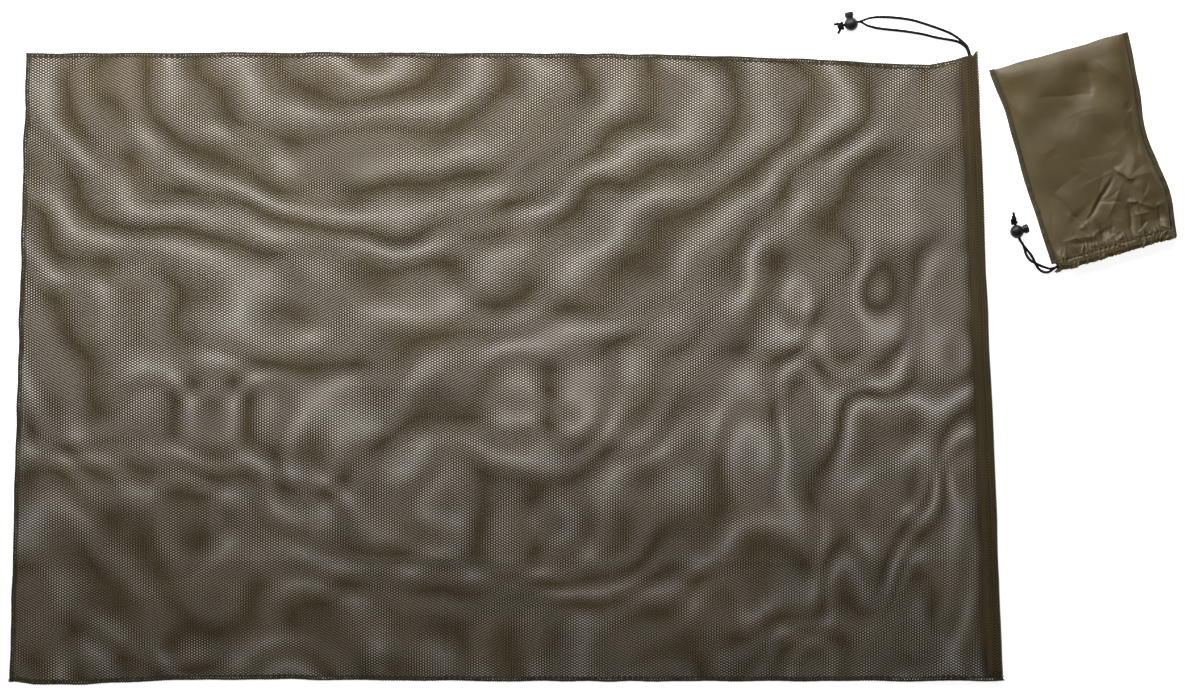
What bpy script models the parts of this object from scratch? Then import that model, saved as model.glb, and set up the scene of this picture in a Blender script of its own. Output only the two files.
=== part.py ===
"""Mesh drawstring sack, lying flat, with its small drawstring carry pouch beside it.

Both bags are built the same way, so one function makes each of them. A bag has two panels
sewn together along three sides. At the open end each panel's edge is folded back into a
channel, and one draw cord runs up one channel and back down the other. Its two ends leave
at the same corner, pass through a round spring lock and end in a knot.

Units are metres. +X runs from the sack's closed end to its mouth, +Z is up, and the origin
is on the underside of the sack's lower panel. In a bag's own frame x runs from the closed
end to the mouth, side "a" is at +y and side "b" at -y.
"""

import math

import bmesh
import bpy
from mathutils import Matrix, Vector

MM = 0.001

# ---- Fabric, cord and clearances ----
CLEARANCE = 0.3 * MM
SEAM_WIDTH = 7.0 * MM
FLAP_THICKNESS = 0.6 * MM
THREAD_RADIUS = 0.4 * MM
CORD_RADIUS = 1.5 * MM
CORD_STEP = 6.5 * MM
OUTLINE_STEP = 10.0 * MM
THREAD_STEP = 40.0 * MM
STATIONS = 40
CLOSED_GAP = 1.0 * MM
MOUTH_GAP = 5.6 * MM
TURN_ROOM = 18.0 * MM
TURN_MARGIN = 1.0 * MM
TURN_STEPS = 8
EXIT_STRAIGHT = 2.5 * MM
THREAD_TAIL = 10.0 * MM

# ---- Round cord lock ----
BALL_RADIUS = 8.5 * MM
BORE_RADIUS = 4.8 * MM
BORE_FLOOR = -7.0 * MM
STEM_RADIUS = 4.5 * MM
STEM_FOOT = -2.8 * MM
STEM_TOP = 11.3 * MM
HEAD_RADIUS = 5.7 * MM
HEAD_TOP = 15.0 * MM
HEAD_EDGE = 1.0 * MM
PRESS_TRAVEL = 2.2 * MM
CORD_LEVEL = 0.5 * MM
CORD_SPREAD = CORD_RADIUS + 0.15 * MM
CORD_LEAD_IN = 11.0 * MM
SPRING_RADIUS = 3.2 * MM
SPRING_WIRE = 0.25 * MM
SPRING_TURNS = 3
SPRING_STEPS = 12
CUT_PAST = 1.0 * MM
KNOT_RADII = Vector((4.6, 5.4, 5.0)) * MM

# ---- Sack ----
SACK = {
    "name": "sack",
    "origin": (-0.6085, 0.0),
    "heading": 0.0,
    "panel": 0.8 * MM,
    "casing": 20.0 * MM,
    "side_a": [
        (0.0110, 0.3900), (0.2000, 0.3905), (0.5000, 0.3905), (0.8000, 0.3880),
        (1.0200, 0.3808), (1.1150, 0.3745), (1.1550, 0.3800), (1.1893, 0.3905),
    ],
    "side_b": [
        (-0.0110, -0.3900), (0.0500, -0.3950), (0.2500, -0.3880), (0.6000, -0.3900),
        (1.0000, -0.3900), (1.2226, -0.3890),
    ],
    "exit": "a",
    "ball": (0.4247, 0.4244),
    "cord_heading": 12.6,
    "net": True,
}
SACK_UPPER_STRAND = [
    (0.5680, 0.3960, 0.0108), (0.5620, 0.4030, 0.0078), (0.5545, 0.4095, 0.0045),
    (0.5444, 0.4154, 0.0022), (0.5245, 0.4228, 0.0016), (0.5010, 0.4300, 0.0016),
    (0.4799, 0.4330, 0.0017), (0.4620, 0.4337, 0.0030), (0.4480, 0.4318, 0.0070),
]
SACK_LOWER_STRAND = [
    (0.5690, 0.3940, 0.0021), (0.5640, 0.3995, 0.0017), (0.5543, 0.4042, 0.0016),
    (0.5307, 0.4085, 0.0016), (0.5146, 0.4125, 0.0016), (0.4910, 0.4163, 0.0016),
    (0.4700, 0.4185, 0.0017), (0.4560, 0.4203, 0.0026), (0.4450, 0.4230, 0.0047),
]

# ---- Carry pouch ----
POUCH = {
    "name": "pouch",
    "origin": (0.6820, 0.39185),
    "heading": -74.5,
    "panel": 0.6 * MM,
    "casing": 15.0 * MM,
    "side_a": [
        (0.0000, 0.0905), (0.0600, 0.0863), (0.1270, 0.0785), (0.1670, 0.0824),
        (0.2060, 0.0870), (0.2625, 0.0790),
    ],
    "side_b": [
        (0.0000, -0.0905), (0.0640, -0.0840), (0.1270, -0.0842), (0.2000, -0.0820),
        (0.2652, -0.0787),
    ],
    "exit": "b",
    "ball": (0.6298, 0.1676),
    "cord_heading": -72.6,
    "net": False,
}
POUCH_UPPER_STRAND = [
    (0.6712, 0.1217, 0.0098), (0.6655, 0.1232, 0.0066), (0.6590, 0.1258, 0.0052),
    (0.6528, 0.1288, 0.0054), (0.6466, 0.1326, 0.0040), (0.6424, 0.1392, 0.0019),
    (0.6402, 0.1462, 0.0019), (0.6374, 0.1530, 0.0038),
]
POUCH_LOWER_STRAND = [
    (0.6705, 0.1180, 0.0020), (0.6635, 0.1180, 0.0016), (0.6575, 0.1222, 0.0016),
    (0.6536, 0.1288, 0.0016), (0.6508, 0.1348, 0.0018), (0.6470, 0.1404, 0.0032),
    (0.6413, 0.1468, 0.0056), (0.6362, 0.1530, 0.0082),
]

# ---- Colours and roughness ----
OLIVE_NET = (0.115, 0.092, 0.055)
OLIVE_NYLON = (0.110, 0.086, 0.044)
OLIVE_BINDING = (0.060, 0.050, 0.028)
THREAD = (0.080, 0.068, 0.040)
BLACK_CORD = (0.012, 0.012, 0.014)
BLACK_PLASTIC = (0.022, 0.023, 0.025)
STEEL = (0.560, 0.560, 0.570)
FABRIC_ROUGHNESS = 0.85
CORD_ROUGHNESS = 0.9
PLASTIC_ROUGHNESS = 0.35
STEEL_ROUGHNESS = 0.3


# ---- Scene, materials and placing ----

def clear_scene():
    for obj in list(bpy.data.objects):
        bpy.data.objects.remove(obj)


def new_collection(name):
    collection = bpy.data.collections.new(name)
    bpy.context.scene.collection.children.link(collection)
    return collection


def material(name, colour, roughness, metallic=0.0):
    mat = bpy.data.materials.new(name)
    mat.use_nodes = True
    shader = mat.node_tree.nodes["Principled BSDF"]
    shader.inputs["Base Color"].default_value = (*colour, 1.0)
    shader.inputs["Roughness"].default_value = roughness
    shader.inputs["Metallic"].default_value = metallic
    mat.diffuse_color = (*colour, 1.0)
    return mat


def place(obj, collection, look, parent=None, matrix=None):
    """Put a piece in its collection, on its parent, with its own material."""
    if obj.name not in collection.objects:
        collection.objects.link(obj)
    if parent is not None:
        obj.parent = parent
    if matrix is not None:
        obj.matrix_basis = matrix
    if look is not None:
        obj.data.materials.clear()
        obj.data.materials.append(material(obj.name, *look))
    return obj


def empty(name, collection, matrix, parent=None):
    return place(bpy.data.objects.new(name, None), collection, None, parent, matrix)


# ---- Lines and curves ----

def smooth(points, step):
    """Points a step apart along a Catmull-Rom curve through the given points."""
    points = [Vector(p) for p in points]
    ends = [2 * points[0] - points[1]] + points + [2 * points[-1] - points[-2]]
    dense = []
    for p0, p1, p2, p3 in zip(ends, ends[1:], ends[2:], ends[3:]):
        for i in range(24):
            t = i / 24
            dense.append(0.5 * (
                2 * p1 + (p2 - p0) * t + (2 * p0 - 5 * p1 + 4 * p2 - p3) * t**2
                + (3 * p1 - p0 - 3 * p2 + p3) * t**3))
    dense.append(points[-1])
    lengths = [0.0]
    for a, b in zip(dense, dense[1:]):
        lengths.append(lengths[-1] + (b - a).length)
    count = max(2, round(lengths[-1] / step))
    result, k = [], 0
    for i in range(count + 1):
        goal = lengths[-1] * i / count
        while k < len(dense) - 2 and lengths[k + 1] < goal:
            k += 1
        share = (goal - lengths[k]) / (lengths[k + 1] - lengths[k])
        result.append(dense[k].lerp(dense[k + 1], share))
    return result


def outline_solid(name, outline, height):
    """A flat outline in its own XY plane, extruded evenly about that plane."""
    data = bpy.data.curves.new(name, "CURVE")
    data.dimensions = "2D"
    data.fill_mode = "BOTH"
    data.extrude = height / 2
    spline = data.splines.new("POLY")
    spline.points.add(len(outline) - 1)
    for point, xy in zip(spline.points, outline):
        point.co = (xy[0], xy[1], 0.0, 1.0)
    spline.use_cyclic_u = True
    return bpy.data.objects.new(name, data)


def tube(name, points, radius, resolution=2):
    """A round cord or thread along the points, closed at both ends."""
    data = bpy.data.curves.new(name, "CURVE")
    data.dimensions = "3D"
    data.bevel_depth = radius
    data.bevel_resolution = resolution
    data.use_fill_caps = True
    spline = data.splines.new("POLY")
    spline.points.add(len(points) - 1)
    for point, co in zip(spline.points, points):
        point.co = (*co, 1.0)
    return bpy.data.objects.new(name, data)


def as_mesh(obj, collection):
    """Turn a curve piece into a mesh with its caps welded on."""
    collection.objects.link(obj)
    bpy.context.view_layer.update()
    evaluated = obj.evaluated_get(bpy.context.evaluated_depsgraph_get())
    mesh = bpy.data.meshes.new_from_object(evaluated)
    bm = bmesh.new()
    bm.from_mesh(mesh)
    bmesh.ops.remove_doubles(bm, verts=bm.verts, dist=1e-6)
    bm.to_mesh(mesh)
    bm.free()
    name = obj.name
    bpy.data.objects.remove(obj)
    return bpy.data.objects.new(name, mesh)


# ---- A bag's plan and heights ----

class Bag:
    """Plan, heights and frames of one bag, worked out from its driving dimensions."""

    def __init__(self, spec, collection):
        self.name = spec["name"]
        self.panel = spec["panel"]
        self.casing = spec["casing"]
        self.collection = collection
        self.sides = {side: smooth(spec["side_" + side], OUTLINE_STEP) for side in "ab"}
        self.far = "b" if spec["exit"] == "a" else "a"
        self.exit = spec["exit"]

        origin = Matrix.Translation((*spec["origin"], 0.0))
        turn = Matrix.Rotation(math.radians(spec["heading"]), 4, "Z")
        self.frame = origin @ turn
        self.base = empty(self.name + "_frame", collection, self.frame)

        channel = 2 * CLEARANCE + 2 * CORD_RADIUS + FLAP_THICKNESS
        self.low_cord_z = self.panel + CLEARANCE + CORD_RADIUS
        self.low_flap_top = self.panel + channel
        self.mouth_z = self.low_flap_top + MOUTH_GAP + channel
        self.hinge_z = 2 * self.panel + CLOSED_GAP

        # The hinge line is the inner edge of the closed end's seam.
        a, b = self.edge("a", 0.0), self.edge("b", 0.0)
        inwards = Vector((a.y - b.y, b.x - a.x)).normalized()
        self.hinge_at = (a + b) / 2 + inwards * SEAM_WIDTH
        self.skew = math.atan2(inwards.y, inwards.x)
        length = self.edge("a", 1.0).lerp(self.edge("b", 1.0), 0.5) - self.hinge_at
        rise = self.mouth_z + self.panel - self.hinge_z
        self.tilt = math.asin(rise / length.length)
        hinge = (
            Matrix.Translation((*self.hinge_at, self.hinge_z))
            @ Matrix.Rotation(self.skew, 4, "Z")
            @ Matrix.Rotation(-self.tilt, 4, "Y"))
        self.hinge = empty(self.name + "_mouth_hinge", collection, hinge, self.base)

    def edge(self, side, s, inset=0.0):
        """The outline on one side, at share s of the way to the mouth."""
        def outer(which):
            line = self.sides[which]
            x = line[0].x + s * (line[-1].x - line[0].x)
            k = 1
            while k < len(line) - 1 and line[k].x < x:
                k += 1
            share = (x - line[k - 1].x) / (line[k].x - line[k - 1].x)
            return line[k - 1].lerp(line[k], share)
        here, there = outer(side), outer("b" if side == "a" else "a")
        return here + (there - here).normalized() * inset

    def on_lid(self, point):
        """A plan point as seen from the hinge line, before the upper layer tilts."""
        c, s = math.cos(-self.skew), math.sin(-self.skew)
        d = point - self.hinge_at
        return Vector((c * d.x - s * d.y, s * d.x + c * d.y))

    def top(self, point):
        """Height of the upper panel's top face over a plan point."""
        return self.hinge_z + math.tan(self.tilt) * self.on_lid(point).x

    def mouth(self, inwards, along):
        """A plan point by the mouth: in from its edge, and along from the far corner."""
        start = self.edge(self.far, 1.0)
        way = (self.edge(self.exit, 1.0) - start).normalized()
        normal = Vector((-way.y, way.x)) if self.exit == "a" else Vector((way.y, -way.x))
        return start + normal * inwards + way * along

    @property
    def mouth_width(self):
        return (self.edge("a", 1.0) - self.edge("b", 1.0)).length


def stations(bag):
    """Shares of the way to the mouth at which both seams and panels have their corners."""
    inset = SEAM_WIDTH + CLEARANCE
    length = (bag.edge("a", 1.0) - bag.edge("a", 0.0)).length
    first = inset / length
    last = 1.0 - (bag.casing + CLEARANCE) / bag.edge(bag.exit, 1.0).x
    even = [i / STATIONS for i in range(STATIONS + 1)]
    return first, last, sorted(even + [first, last])


def panel_outline(bag):
    """The panels' plan: inside the seams, and open to the mouth's edge."""
    inset = SEAM_WIDTH + CLEARANCE
    first, _, shares = stations(bag)
    shares = [s for s in shares if s >= first]
    side_a = [bag.edge("a", s, inset) for s in shares]
    side_b = [bag.edge("b", s, inset) for s in shares]
    return side_a + side_b[::-1]


def make_panels(bag, colour):
    outline = panel_outline(bag)
    look = (colour, FABRIC_ROUGHNESS)
    lower = outline_solid(bag.name + "_lower_panel", outline, bag.panel)
    place(lower, bag.collection, look, bag.base, Matrix.Translation((0, 0, bag.panel / 2)))
    lid = [bag.on_lid(p) for p in outline]
    upper = outline_solid(bag.name + "_upper_panel", lid, bag.panel)
    place(upper, bag.collection, look, bag.hinge, Matrix.Translation((0, 0, -bag.panel / 2)))


def make_side_seam(bag, side):
    """The sewn edge along one side, as high as the two layers stand there."""
    _, last, shares = stations(bag)
    if side == bag.exit:
        shares = [s for s in shares if s <= last]
    outer = [bag.edge(side, s) for s in shares]
    inner = [bag.edge(side, s, SEAM_WIDTH) for s in shares]
    height = 2 * bag.mouth_z
    seam = as_mesh(
        outline_solid(f"{bag.name}_side_seam_{side}", outer + inner[::-1], height),
        bag.collection)
    for vertex in seam.data.vertices:
        floor = vertex.co.z < 0
        vertex.co.z = 0.0 if floor else bag.top(vertex.co.xy)
    place(seam, bag.collection, (OLIVE_BINDING, FABRIC_ROUGHNESS), bag.base)

    line = smooth([bag.edge(side, s, SEAM_WIDTH / 2) for s in shares], THREAD_STEP)[:-1]
    lift = CLEARANCE + THREAD_RADIUS
    stitches = [Vector((p.x, p.y, bag.top(p) + lift)) for p in line]
    thread = tube(f"{bag.name}_side_thread_{side}", stitches, THREAD_RADIUS, 1)
    place(thread, bag.collection, (THREAD, FABRIC_ROUGHNESS), bag.base)


def make_end_seam(bag):
    """The sewn closed end, between the two side seams."""
    inset = SEAM_WIDTH + CLEARANCE
    depth = (SEAM_WIDTH - CLEARANCE) / (bag.edge("a", 1.0) - bag.edge("a", 0.0)).length
    outer = [bag.edge(side, 0.0, inset) for side in "ab"]
    inner = [bag.edge(side, depth, inset) for side in "ab"]
    seam = outline_solid(bag.name + "_end_seam", outer + inner[::-1], bag.hinge_z)
    lift = Matrix.Translation((0, 0, bag.hinge_z / 2))
    place(seam, bag.collection, (OLIVE_BINDING, FABRIC_ROUGHNESS), bag.base, lift)

    z = bag.hinge_z + CLEARANCE + THREAD_RADIUS
    ends = [(*(p + q) / 2, z) for p, q in zip(outer, inner)]
    thread = tube(bag.name + "_end_thread", ends, THREAD_RADIUS, 1)
    place(thread, bag.collection, (THREAD, FABRIC_ROUGHNESS), bag.base)


def make_casing(bag, layer, colour):
    """The folded-back edge of one panel: a channel for the cord, open towards its panel."""
    depth = 2 * CLEARANCE + 2 * CORD_RADIUS + FLAP_THICKNESS
    wide, wall = bag.casing, FLAP_THICKNESS
    rim = CLEARANCE
    profile = [
        (0, rim), (0, depth), (wide, depth), (wide, rim),
        (wide - wall, rim), (wide - wall, depth - wall), (wall, depth - wall), (wall, rim),
    ]
    start, end = TURN_ROOM, bag.mouth_width - SEAM_WIDTH - CLEARANCE
    middle = bag.mouth(0.0, (start + end) / 2)
    ahead = bag.mouth(0.0, end) - bag.mouth(0.0, start)
    inwards = bag.mouth(1.0, 0.0) - bag.mouth(0.0, 0.0)
    lower = layer == "lower"
    if not lower:
        profile = [(x, -y) for x, y in profile]
        middle = bag.on_lid(middle)
        inwards = bag.on_lid(bag.hinge_at + inwards)
    across = Vector((inwards.x, inwards.y, 0.0)).normalized()
    up = Vector((0, 0, 1))
    turn = Matrix((across, up, across.cross(up))).transposed().to_4x4()
    z = bag.panel if lower else -bag.panel
    matrix = Matrix.Translation((*middle, z)) @ turn
    casing = outline_solid(f"{bag.name}_{layer}_casing", profile, ahead.length)
    parent = bag.base if lower else bag.hinge
    place(casing, bag.collection, (colour, FABRIC_ROUGHNESS), parent, matrix)

    # The stitch line holds the flap's inner edge down on its panel.
    inset = wide + CLEARANCE + THREAD_RADIUS
    ends = [bag.mouth(inset, start), bag.mouth(inset, end - THREAD_TAIL)]
    lift = CLEARANCE + THREAD_RADIUS
    if lower:
        line = [(*p, bag.panel + lift) for p in ends]
    else:
        line = [(*bag.on_lid(p), lift) for p in ends]
    thread = tube(f"{bag.name}_{layer}_casing_thread", line, THREAD_RADIUS, 1)
    place(thread, bag.collection, (THREAD, FABRIC_ROUGHNESS), parent)


def make_cord_runs(bag):
    """The draw cord inside the two channels, with its turn at the far corner."""
    high_cord_z = bag.mouth_z - CLEARANCE - CORD_RADIUS
    bend = (high_cord_z - bag.low_cord_z) / 2
    turn_at = TURN_ROOM - TURN_MARGIN
    exit_at = bag.mouth_width - SEAM_WIDTH
    middle = bag.casing / 2
    look = (BLACK_CORD, CORD_ROUGHNESS)

    line = [(*bag.mouth(middle, exit_at), bag.low_cord_z)]
    line.append((*bag.mouth(middle, turn_at), bag.low_cord_z))
    for i in range(1, TURN_STEPS + 1):
        angle = math.pi * i / TURN_STEPS
        point = bag.mouth(middle, turn_at - bend * math.sin(angle))
        line.append((*point, bag.low_cord_z + bend * (1 - math.cos(angle))))
    lower = tube(bag.name + "_lower_cord_run", line, CORD_RADIUS)
    place(lower, bag.collection, look, bag.base)

    z = -bag.panel - CLEARANCE - CORD_RADIUS
    ends = [bag.mouth(middle, turn_at + CLEARANCE), bag.mouth(middle, exit_at)]
    upper = tube(
        bag.name + "_upper_cord_run", [(*bag.on_lid(p), z) for p in ends], CORD_RADIUS)
    place(upper, bag.collection, look, bag.hinge)
    return high_cord_z


# ---- The lock and the free cord ----

def lock_frame(spec):
    """The lock's own frame: x along the cord towards the bag, y the way the button faces."""
    turn = Matrix.Rotation(math.radians(spec["cord_heading"]), 4, "Z")
    return Matrix.Translation((*spec["ball"], BALL_RADIUS)) @ turn


def box_cutter(name, low, high, cutters, parent):
    bpy.ops.mesh.primitive_cube_add(size=1.0)
    obj = bpy.context.object
    for owner in list(obj.users_collection):
        owner.objects.unlink(obj)
    obj.name = name
    low, high = Vector(low), Vector(high)
    size = high - low
    obj.data.transform(Matrix.Diagonal((*size, 1.0)))
    return place_cutter(obj, cutters, parent, Matrix.Translation((low + high) / 2))


def place_cutter(obj, cutters, parent, matrix):
    place(obj, cutters, None, parent, matrix)
    obj.hide_render = True
    obj.display_type = "WIRE"
    return obj


def cut(obj, cutter):
    boolean = obj.modifiers.new(cutter.name, "BOOLEAN")
    boolean.operation = "DIFFERENCE"
    boolean.object = cutter
    boolean.solver = "EXACT"


def primitive(add, name, **size):
    add(**size)
    obj = bpy.context.object
    for owner in list(obj.users_collection):
        owner.objects.unlink(obj)
    obj.name = name
    obj.data.name = name
    return obj


def make_lock(spec, collection, cutters):
    name = spec["name"]
    frame = empty(name + "_lock_frame", collection, lock_frame(spec))
    plastic = (BLACK_PLASTIC, PLASTIC_ROUGHNESS)
    bore_turn = Matrix.Rotation(math.radians(-90), 4, "X")
    slot = CORD_RADIUS + CLEARANCE
    slot_height = CORD_SPREAD + slot

    ball = primitive(
        bpy.ops.mesh.primitive_uv_sphere_add, name + "_lock_body",
        segments=32, ring_count=16, radius=BALL_RADIUS)
    ball.data.shade_smooth()
    place(ball, collection, plastic, frame)
    reach = BALL_RADIUS + CUT_PAST
    bore = primitive(
        bpy.ops.mesh.primitive_cylinder_add, name + "_bore_cutter",
        vertices=32, radius=BORE_RADIUS, depth=reach - BORE_FLOOR)
    at_bore = Matrix.Translation((0, (reach + BORE_FLOOR) / 2, 0)) @ bore_turn
    cut(ball, place_cutter(bore, cutters, frame, at_bore))
    cut(ball, box_cutter(
        name + "_cord_hole_cutter", (-reach, CORD_LEVEL - slot, -slot_height),
        (reach, CORD_LEVEL + slot, slot_height), cutters, frame))

    make_plunger(name, collection, cutters, frame, plastic, slot, slot_height)
    make_spring(name, collection, frame)

    start = -BALL_RADIUS - CLEARANCE - KNOT_RADII.x
    knot = primitive(
        bpy.ops.mesh.primitive_ico_sphere_add, name + "_cord_knot", subdivisions=3, radius=1.0)
    knot.data.transform(Matrix.Diagonal((*KNOT_RADII, 1.0)))
    place(knot, collection, (BLACK_CORD, CORD_ROUGHNESS), frame, Matrix.Translation((start, 0, 0)))


def make_plunger(name, collection, cutters, frame, look, slot, slot_height):
    """The button and its stem, turned about the lock's y axis and slotted for the cords."""
    profile = [(0.0, HEAD_TOP)]
    for i in range(5):
        angle = math.pi / 2 * (1 - i / 4)
        profile.append((
            HEAD_RADIUS - HEAD_EDGE + HEAD_EDGE * math.cos(angle),
            HEAD_TOP - HEAD_EDGE + HEAD_EDGE * math.sin(angle)))
    profile += [
        (HEAD_RADIUS, STEM_TOP), (STEM_RADIUS, STEM_TOP), (STEM_RADIUS, STEM_FOOT),
        (0.0, STEM_FOOT),
    ]
    mesh = bpy.data.meshes.new(name + "_lock_plunger")
    edges = [(i, i + 1) for i in range(len(profile) - 1)]
    mesh.from_pydata([(r, 0.0, z) for r, z in profile], edges, [])
    plunger = bpy.data.objects.new(name + "_lock_plunger", mesh)
    turned = Matrix.Rotation(math.radians(-90), 4, "X")
    place(plunger, collection, look, frame, turned)
    screw = plunger.modifiers.new("Turned", "SCREW")
    screw.steps = screw.render_steps = 32
    screw.axis = "Z"
    screw.use_merge_vertices = True
    screw.merge_threshold = 1e-6
    screw.use_smooth_shade = True
    cut(plunger, box_cutter(
        name + "_stem_slot_cutter",
        (-2 * STEM_RADIUS, CORD_LEVEL - slot, -slot_height),
        (2 * STEM_RADIUS, CORD_LEVEL + slot + PRESS_TRAVEL, slot_height), cutters, frame))


def make_spring(name, collection, frame):
    """The coil spring between the stem's foot and the floor of the bore."""
    low = BORE_FLOOR + CLEARANCE + SPRING_WIRE
    high = STEM_FOOT - CLEARANCE - SPRING_WIRE
    count = SPRING_STEPS * SPRING_TURNS
    line = []
    for i in range(count + 1):
        angle = 2 * math.pi * i / SPRING_STEPS
        y = low + (high - low) * i / count
        line.append((SPRING_RADIUS * math.cos(angle), y, SPRING_RADIUS * math.sin(angle)))
    spring = tube(name + "_lock_spring", line, SPRING_WIRE, 1)
    place(spring, collection, (STEEL, STEEL_ROUGHNESS, 1.0), frame)


def make_strand(bag, spec, layer, route, level, start_z):
    """One free end of the cord: out of its channel, over the surface, through the lock."""
    exit_at = bag.mouth(bag.casing / 2, bag.mouth_width - SEAM_WIDTH + CLEARANCE)
    start = bag.frame @ Vector((*exit_at, start_z))
    beyond = bag.mouth(bag.casing / 2, bag.mouth_width - SEAM_WIDTH + EXIT_STRAIGHT)
    out = bag.frame @ Vector((*beyond, start_z))
    lock = lock_frame(spec)
    ahead = (CORD_LEAD_IN, 0.0, -BALL_RADIUS)
    inside = [lock @ Vector((x, CORD_LEVEL, level)) for x in ahead]
    points = smooth([start, out] + [Vector(p) for p in route] + inside, CORD_STEP)
    strand = tube(f"{bag.name}_{layer}_cord_strand", points, CORD_RADIUS)
    place(strand, bag.collection, (BLACK_CORD, CORD_ROUGHNESS))


def make_bag(spec, upper_route, lower_route, upper_level, collection, cutters):
    bag = Bag(spec, collection)
    colour = OLIVE_NET if spec["net"] else OLIVE_NYLON
    make_panels(bag, colour)
    for side in "ab":
        make_side_seam(bag, side)
    make_end_seam(bag)
    for layer in ("lower", "upper"):
        make_casing(bag, layer, colour)
    high_cord_z = make_cord_runs(bag)
    make_lock(spec, collection, cutters)
    make_strand(bag, spec, "upper", upper_route, upper_level, high_cord_z)
    make_strand(bag, spec, "lower", lower_route, -upper_level, bag.low_cord_z)


def main():
    clear_scene()
    collection = new_collection("mesh_drawstring_sack")
    cutters = new_collection("cutters")
    make_bag(SACK, SACK_UPPER_STRAND, SACK_LOWER_STRAND, CORD_SPREAD, collection, cutters)
    make_bag(POUCH, POUCH_UPPER_STRAND, POUCH_LOWER_STRAND, -CORD_SPREAD, collection, cutters)


main()
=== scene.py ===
"""Looks of a mesh drawstring sack and its nylon carry pouch, both lying flat on a pale floor.

Everything is in metres, in the part's frame. In a bag's own frame x runs from the closed end to
the mouth, side "a" is at +y and side "b" at -y, as in the CAD source.
"""

import math
from functools import partial

import bmesh
import bpy
import numpy as np
from mathutils import Matrix, Vector


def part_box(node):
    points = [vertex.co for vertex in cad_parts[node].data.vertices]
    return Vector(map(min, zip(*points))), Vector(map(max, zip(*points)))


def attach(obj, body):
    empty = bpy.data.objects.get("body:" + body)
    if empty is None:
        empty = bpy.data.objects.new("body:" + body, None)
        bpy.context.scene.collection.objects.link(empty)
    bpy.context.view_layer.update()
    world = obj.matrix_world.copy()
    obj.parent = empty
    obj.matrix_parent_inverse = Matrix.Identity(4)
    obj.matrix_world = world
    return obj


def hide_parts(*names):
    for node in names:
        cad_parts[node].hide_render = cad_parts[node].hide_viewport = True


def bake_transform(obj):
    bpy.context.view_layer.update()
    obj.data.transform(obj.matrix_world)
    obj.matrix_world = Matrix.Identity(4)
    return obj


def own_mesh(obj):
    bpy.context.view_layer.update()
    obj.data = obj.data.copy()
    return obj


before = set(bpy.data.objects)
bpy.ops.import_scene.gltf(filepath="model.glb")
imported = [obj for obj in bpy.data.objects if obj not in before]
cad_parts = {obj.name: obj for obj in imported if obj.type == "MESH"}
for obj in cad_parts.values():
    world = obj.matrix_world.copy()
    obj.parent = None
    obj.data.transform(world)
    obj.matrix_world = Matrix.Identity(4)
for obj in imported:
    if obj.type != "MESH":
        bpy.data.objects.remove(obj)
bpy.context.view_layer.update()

MM = 0.001

# ---- Driving dimensions, as in the CAD source ----
SEAM_WIDTH = 7.0 * MM
PANEL_INSET = 7.3 * MM
CORD_RADIUS = 1.5 * MM
BALL_RADIUS = 8.5 * MM
BORE_RADIUS = 4.8 * MM
BORE_FLOOR = -7.0 * MM
STEM_RADIUS = 4.5 * MM
STEM_FOOT = -2.8 * MM
HEAD_RADIUS = 5.7 * MM
HEAD_TOP = 15.0 * MM
PRESS_TRAVEL = 2.2 * MM
CORD_LEVEL = 0.5 * MM
CORD_SPREAD = 1.65 * MM
KNOT_AT = -13.4 * MM
UPPER_CORD_DROP = 2.2 * MM
SPRING_TURNS = 3
SPRING_RADIUS = 3.2 * MM
WIRE_RADIUS = 0.25 * MM
SEWN_SHARE = 0.05

# ---- Braided cord, which swells where nothing holds it ----
BRAID_STRANDS = 8
BRAID_LAY = 5.2 * MM
BRAID_RELIEF = 0.13 * MM
LOOSE_SWELL = 0.22 * MM

# ---- Cloth, channels and sewing ----
CHANNEL_HALF = 2.05 * MM
CHANNEL_PINCH = 15 * MM
CLOTH_THICKNESS = 0.12 * MM
CLOTH_ROWS, CLOTH_COLUMNS = 300, 230
POUCH_LENGTH = 0.262
POUCH_STITCH = 2.6 * MM
STITCH_LINE_AT = 1.0 * MM
SEAMS = {"a": "side_seam_a", "b": "side_seam_b", "end": "end_seam"}

SACK = {
    "name": "sack", "origin": (-0.6085, 0.0), "heading": 0.0, "casing": 20.0 * MM,
    "exit": "a", "ball": (0.4247, 0.4244), "cord_heading": 12.6,
    "upper_level": CORD_SPREAD,
    "upper_route": [
        (0.5680, 0.3960, 0.0108), (0.5620, 0.4030, 0.0078), (0.5545, 0.4095, 0.0045),
        (0.5444, 0.4154, 0.0022), (0.5245, 0.4228, 0.0016), (0.5010, 0.4300, 0.0016),
        (0.4799, 0.4330, 0.0017), (0.4620, 0.4337, 0.0030), (0.4480, 0.4318, 0.0070),
    ],
    "lower_route": [
        (0.5690, 0.3940, 0.0021), (0.5640, 0.3995, 0.0017), (0.5543, 0.4042, 0.0016),
        (0.5307, 0.4085, 0.0016), (0.5146, 0.4125, 0.0016), (0.4910, 0.4163, 0.0016),
        (0.4700, 0.4185, 0.0017), (0.4560, 0.4203, 0.0026), (0.4450, 0.4230, 0.0047),
    ],
}
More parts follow.
